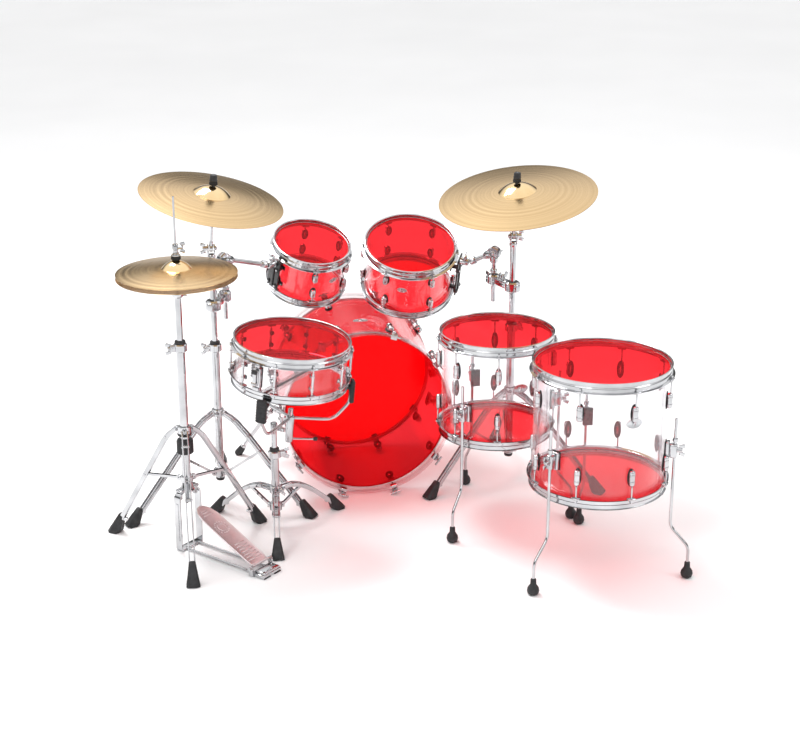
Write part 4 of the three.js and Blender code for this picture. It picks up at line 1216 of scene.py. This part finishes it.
def snare_basket():
    """The hub, its lever, and three arms that reach out and up to the lower hoop."""
    lean = snare.to_3x3() @ Vector((0, 0, 1))
    place = aim(basket_at, lean)
    seat = place.inverted() @ (snare @ Vector((0, 0, -snare_height)))
    metal, rubber = [], []
    for angle in (240, 0, 116):
        out = Vector((math.cos(math.radians(angle)), math.sin(math.radians(angle)), 0))
        start = out * 0.012 + Vector((0, 0, 0.05))
        line = [
            start, seat + out * 0.15 + Vector((0, 0, -0.128)), seat + out * 0.1978 + Vector((0, 0, -0.066))
        ]
        line.append(seat + out * 0.2018 + Vector((0, 0, -0.034)))
        metal.append(rod(line, 0.0052, 0.03))
        spin = Matrix.Translation(seat) @ Matrix.Rotation(math.radians(angle), 4, "Z")
        grip = brick((0.014, 0.034, 0.078), (0.2028, 0, -0.026), 0.006, 4)
        ribs = [
            brick((0.0162, 0.0352, 0.003), (0.2028, 0, z), 0.0012) for z in np.linspace(-0.058, 0.006, 8)
        ]
        shelf = brick((0.028, 0.028, 0.012), (0.1875, 0, -0.0112), 0.004, 3)
        rubber.append(moved(joined([grip, *ribs, shelf]), spin))
    block = lathe(
        [(0, -0.034), (0.011, -0.034), (0.0135, -0.03), (0.0135, 0.054), (0.0105, 0.06), (0, 0.06)], 36
    )
    thread = [(0, 0.058)]
    thread += [(0.0088 - 0.0011 * (k % 2), 0.058 + 0.0014 * k) for k in range(18)]
    thread = lathe([*thread, (0, 0.083)], 28)
    lever = brick((0.084, 0.009, 0.005), (0.046, 0, -0.024), 0.0022, 3)
    knob = moved(capsule(0.0065, 0.016, sides=20), aim((0.086, 0, -0.024), (1, 0, 0)))
    layers = [(joined([*metal, block, thread, lever]), chrome), (joined([*rubber, knob]), hard_rubber)]
    piece("snare_cradle", layers, "snare_drum", ["snare_basket"], place)


snare_upper_tube()
snare_basket()

# ---- Hi-hat stand ------------------------------------------------------------------------------------
# The lower tube stands in a cast frame with two uprights. Its three legs fold on a sliding collar, and
# a big black knob sits above the low hub. The rod inside pulls the top cymbal down by a chain.
hat_low, hat_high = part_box("hihat_upper_tube")
hat_at = Vector(((hat_low.x + hat_high.x) / 2, (hat_low.y + hat_high.y) / 2, 0))
hat_place = Matrix.Translation(hat_at)
hat_legs = (270, 148, 32)
pedal_turn = Matrix.Rotation(math.radians(-45.5), 4, "Z")


def hihat_frame():
    tube = pipe_ring(0.012, 0.014, 0.204, 0.69)
    ribs = [(0.0139, 0.326), (0.024, 0.326)]
    for k in range(9):
        z = 0.329 + 0.0046 * k
        ribs += [(0.0268, z), (0.0256, z + 0.0023)]
    knob = lathe([*ribs, (0.024, 0.372), (0.0139, 0.372)], 48)
    low = hub(0.014, 0.227, 0.247, hat_legs, 0.028)
    clamp, bushing = tube_clamp(0.014, 0.682, 200)
    uprights = []
    for s in (-1, 1):
        line = rounded([(0, s * 0.0465, 0.006), (0, s * 0.0465, 0.19), (0, s * 0.02, 0.2055)], 0.02)
        uprights.append(
            sweep(line, [(-0.013, -0.002), (0.013, -0.002), (0.013, 0.002), (-0.013, 0.002)], (1, 0, 0))
        )
        uprights.append(brick((0.01, 0.003, 0.13), (0, s * 0.0488, 0.1), 0.0013))
    crown = lathe(
        [
            (0.0115, 0.196), (0.022, 0.196), (0.024, 0.2), (0.02, 0.207), (0.0165, 0.222), (0.0145, 0.226),
            (0.0115, 0.226),
        ],
        40,
    )
    bridge = brick((0.028, 0.082, 0.009), (0, 0, 0.2045), 0.003, 3)
    bridge_hole = pipe_ring(0.0105, 0.0118, 0.199, 0.2)
    spring_cups = []
    for s in (-1, 1):
        cup = lathe([(0, 0.176), (0.0075, 0.176), (0.0082, 0.18), (0.0082, 0.198), (0, 0.198)], 24)
        spring_cups.append(moved(cup, Matrix.Translation((0, s * 0.034, 0))))
    sole = brick((0.03, 0.092, 0.006), (0, 0, 0.0035), 0.002, 3)
    rails = [rod([(0.012, y, 0.0062), (0.305, y, 0.0062)], 0.0038, sides=16) for y in (-0.028, 0.028)]
    heel = brick((0.046, 0.084, 0.012), (0.327, 0, 0.0065), 0.003, 3)
    top_plate = brick((0.04, 0.074, 0.008), (0.329, 0, 0.016), 0.003, 3)
    knuckles = [
        turned(pin_profile(0.0062, -0.007, 0.007), 24, (0.3, y, 0.026), (0, 1, 0))
        for y in (-0.0455, 0.0455)
    ]
    posts = [brick((0.016, 0.007, 0.026), (0.303, y, 0.015), 0.002) for y in (-0.0455, 0.0455)]
    pads = [brick((0.05, 0.03, 0.003), (0.327, y, 0.0016), 0.001) for y in (-0.024, 0.024)]
    cast = moved(
        joined(
            [
                *uprights, crown, bridge, bridge_hole, *spring_cups, sole, *rails, heel, top_plate,
                *knuckles, *posts,
            ],
        ),
        pedal_turn,
    )
    layers = [
        (joined([tube, low, clamp, cast]), chrome),
        (joined([knob, bushing]), nylon),
        (moved(joined(pads), pedal_turn), hard_rubber),
    ]
    piece("hihat_frame", layers, "floor_set", ["hihat_stand_base"], hat_place)


hihat_frame()


def hihat_fold():
    """The sliding collar, and each leg and strut on its own pin."""
    ring = hub(0.0145, 0.393, 0.417, hat_legs, 0.028)
    grip = pipe_ring(0.0145, 0.0225, 0.385, 0.394, 0.002)
    screw = wing_nut(
        Matrix.Rotation(math.radians(90), 3, "Z") @ Vector((0.021, 0, 0.405)), (0, 1, 0), 0.034
    )
    neck = turned(pin_profile(0.006, 0, 0.008), 20, (0, 0.017, 0.405), (0, 1, 0))
    layers = [(joined([ring, screw, neck]), chrome), (grip, nylon)]
    piece("hihat_collar", layers, "hat_collar", ["hihat_leg_collar"], hat_place)
    path = [(0.028, 0.405), (0.066, 0.372), (0.150, 0.228), (0.260, 0.038)]
    for i, angle in enumerate(hat_legs, 1):
        spin = hat_place @ Matrix.Rotation(math.radians(angle), 4, "Z")
        rails, foot = tripod_leg(path, 0.276)
        piece(
            f"hihat_rails_{i}", [(rails, chrome), (foot, hard_rubber)], f"hat_leg_{i}",
            [f"hihat_leg_{i}"], spin,
        )
        brace = strut((0.028, 0.237), (0.147, 0.228))
        piece(f"hihat_brace_{i}", [(brace, chrome)], f"hat_strut_{i}", [f"hihat_strut_{i}"], spin)


hihat_fold()


def hihat_upper():
    tube = pipe_ring(0.0085, 0.0104, 0.45, 0.842)
    cup = lathe(
        [(0.004, 0.838), (0.012, 0.838), (0.018, 0.844), (0.019, 0.849), (0.019, 0.8515), (0.004, 0.8515)],
        40,
    )
    tilt = wing_nut((0.016, 0, 0.846), (1, 0, 0), 0.02, (0, 1, 0))
    seat_felt = lathe(
        [(0.004, 0.852), (0.0145, 0.852), (0.0155, 0.855), (0.0145, 0.8605), (0.004, 0.8605)], 36
    )
    layers = [(joined([tube, cup, tilt]), chrome), (seat_felt, felt)]
    piece("hihat_tube", layers, "hat_tube", ["hihat_upper_tube"], hat_place)
    # The pull rod and its chain of short links.
    pull = rod([(0, 0, 0.188), (0, 0, 1.1545)], 0.003, sides=20)
    hook = brick((0.008, 0.011, 0.016), (0, 0, 0.196), 0.002)
    links = []
    for k in range(4):
        z = 0.184 - 0.0085 * k
        for y in (-0.0048, 0.0048):
            links.append(brick((0.0066, 0.0014, 0.0105), (0, y + (0.0014 if k % 2 else 0), z), 0.0006))
        links.append(turned(pin_profile(0.0024, -0.0065, 0.0065), 16, (0, 0, z - 0.004), (0, 1, 0)))
    chain = moved(joined([hook, *links]), pedal_turn)
    piece(
        "hihat_rod", [(pull, chrome), (chain, black_metal)], "hat_rod", ["hihat_pull_rod"],
        hat_place,
    )


def hihat_clutch():
    crown = stance("hihat_top_cymbal").translation.z
    body = lathe(
        [
            (0.0042, crown + 0.017), (0.0085, crown + 0.017), (0.0098, crown + 0.02),
            (0.0098, crown + 0.026), (0.0075, crown + 0.028), (0.0075, crown + 0.033),
            (0.01, crown + 0.036), (0.01, crown + 0.048), (0.0085, crown + 0.051), (0.0042, crown + 0.051),
        ],
        36,
    )
    nuts = [
        lathe(
            [(0.0042, z), (0.0145, z), (0.0155, z + 0.0015), (0.0145, z + 0.003), (0.0042, z + 0.003)], 12
        )
        for z in (crown + 0.0145, crown - 0.0215)
    ]
    spindle = pipe_ring(0.0042, 0.0056, crown - 0.008, crown + 0.008, 0.0005)
    felts = []
    for low, high in ((crown + 0.0022, crown + 0.014), (crown - 0.018, crown - 0.0078)):
        felts.append(
            lathe(
                [
                    (0.0058, low), (0.0135, low), (0.015, low + 0.003), (0.015, high - 0.003),
                    (0.0135, high), (0.0058, high),
                ],
                36,
            ),
        )
    screw = wing_nut((0, 0, 0), (1, 0, 0), 0.032)
    screw = moved(
        screw, Matrix.Rotation(math.radians(-20), 4, "Z") @ Matrix.Translation((0.0095, 0, crown + 0.042))
    )
    layers = [(joined([body, *nuts, spindle, screw]), chrome), (joined(felts), felt)]
    piece("hihat_clutch_set", layers, "hat_clutch", ["hihat_clutch"], hat_place)


hihat_upper()
hihat_clutch()


# Cast metal grey with a pink tint; the pink is a painted reflection of the red film heads.
footboard_metal_and_painted_reflection = coated(
    "cast_footboard_and_painted_pink_reflection", ((0.66, 0.60, 0.61), (0.74, 0.68, 0.69)), (0.42, 0.52), 1, 40, 0.000004, 360
)


def footboard():
    """A cast plate with ribs for grip, a ring of raised dots near the toe and a rolled edge."""
    pin = pin_of("footboard")
    toe = Vector((-0.252, 0, 0.122))
    length = toe.length
    place = Matrix.Translation(pin) @ pedal_turn @ Matrix.Rotation(math.atan2(toe.z, -toe.x), 4, "Y")
    outline = []
    for t, half in (
        (0.0, 0.034), (0.06, 0.037), (0.5, 0.038), (0.82, 0.036), (0.93, 0.028), (0.985, 0.014), (1.0, 0.0)
    ):
        outline.append((-t * length, half))
    outline += [(x, -y) for x, y in outline[-2::-1]]
    n = len(outline)
    levels = [(1.0, -0.0022), (1.0, 0.0012), (0.97, 0.0024), (0.93, 0.0014)]
    middle = Vector((-length / 2, 0))
    verts, faces = [], []
    for k, (size, z) in enumerate(levels):
        verts += [(middle.x + (x - middle.x) * size, y * size, z) for x, y in outline]
        if k:
            for j in range(n):
                i = (j + 1) % n
                faces.append([(k - 1) * n + j, (k - 1) * n + i, k * n + i, k * n + j])
    faces.append(list(range(n)))
    faces.append([3 * n + j for j in range(n)])
    raised_parts = []
    for k in range(16):
        t = 2 * math.pi * k / 16
        dot = capsule(0.0021, 0.0042, sides=12)
        at = (-0.62 * length + 0.024 * math.cos(t), 0.024 * math.sin(t), 0.0018)
        raised_parts.append(moved(dot, Matrix.Translation(at)))
    inner = pipe_ring(0.0135, 0.0155, 0.0008, 0.0028, 0.0006)
    raised_parts.append(moved(inner, Matrix.Translation((-0.62 * length, 0, 0))))
    for k in range(7):
        x = -0.08 * length - 0.012 * k
        raised_parts.append(brick((0.004, 0.058 - 0.003 * k, 0.0026), (x, 0, 0.0018), 0.001))
    for k in range(3):
        x = -0.84 * length - 0.01 * k
        raised_parts.append(brick((0.0035, 0.04 - 0.006 * k, 0.0026), (x, 0, 0.0018), 0.001))
    hinge = turned(pin_profile(0.0045, -0.036, 0.036), 24, (0, 0, 0), (0, 1, 0))
    board = joined([(verts, faces), *raised_parts, hinge])
    piece(
        "hihat_pedal_board", [(board, footboard_metal_and_painted_reflection)], "hat_footboard", ["hihat_footboard"],
        place,
    )


footboard()

# ---- Floor, light and camera -------------------------------------------------------------------------
# A pale plain floor under three soft panels, in a white room with a dark band low on its walls, which
# the chrome mirrors.


def studio():
    mesh = bpy.data.meshes.new("floor")
    far = 40
    corners = [(x, y, -0.0005) for x, y in ((-far, -far), (far, -far), (far, far), (-far, far))]
    mesh.from_pydata(corners, [], [(0, 1, 2, 3)])
    floor = bpy.data.objects.new("floor", mesh)
    bpy.context.collection.objects.link(floor)
    material, tree, main = new_material("pale_floor")
    shades(tree, noise(tree, 0.6, 2), ((0.9, 0.9, 0.905), (0.93, 0.93, 0.935)), main.inputs["Base Color"])
    between(tree, noise(tree, 3), 0.5, 0.6, main.inputs["Roughness"])
    mesh.materials.append(material)
    world = bpy.data.worlds.new("room")
    bpy.context.scene.world = world
    world.use_nodes = True
    sky = world.node_tree
    where = sky.nodes.new("ShaderNodeTexCoord")
    split = sky.nodes.new("ShaderNodeSeparateXYZ")
    walls = sky.nodes.new("ShaderNodeValToRGB")
    walls.color_ramp.elements[0].position = 0.0
    walls.color_ramp.elements[0].color = (0.9, 0.9, 0.9, 1)
    walls.color_ramp.elements[1].position = 0.62
    walls.color_ramp.elements[1].color = (1, 1, 1, 1)
    for position, shade in ((0.07, 0.75), (0.13, 0.06), (0.3, 0.1), (0.42, 0.7)):
        stop = walls.color_ramp.elements.new(position)
        stop.color = (shade, shade, shade, 1)
    sky.links.new(where.outputs["Generated"], split.inputs["Vector"])
    sky.links.new(split.outputs["Z"], walls.inputs["Fac"])
    sky.links.new(walls.outputs["Color"], sky.nodes["Background"].inputs["Color"])
    sky.nodes["Background"].inputs["Strength"].default_value = 1.22
    for name, at, size, power in (
        ("key", (-1.2, 1.6, 4.2), 1.8, 170),
        ("front", (-2.8, -3.6, 3.6), 2.4, 40),
        ("side", (3.6, -2.2, 2.8), 1.6, 30),
    ):
        lamp = bpy.data.lights.new(name, "AREA")
        lamp.size = size
        lamp.energy = power
        panel = bpy.data.objects.new(name, lamp)
        bpy.context.collection.objects.link(panel)
        panel.location = at
        panel.rotation_euler = (Vector((0, 0, 0.5)) - Vector(at)).to_track_quat("-Z", "Y").to_euler()


def camera():
    lens = bpy.data.cameras.new("camera")
    lens.lens = 72.35
    lens.sensor_width = 36
    lens.clip_end = 100
    eye = bpy.data.objects.new("camera", lens)
    bpy.context.collection.objects.link(eye)
    eye.location = (bass_middle.x - 0.705, bass_middle.y - 5.279, 2.304)
    eye.rotation_euler = Vector((0.150, 0.9287, -0.3391)).to_track_quat("-Z", "Y").to_euler()
    bpy.context.scene.camera = eye


studio()
camera()
bpy.context.scene.view_settings.view_transform = "Standard"
bpy.context.scene.cycles.transparent_max_bounces = 40
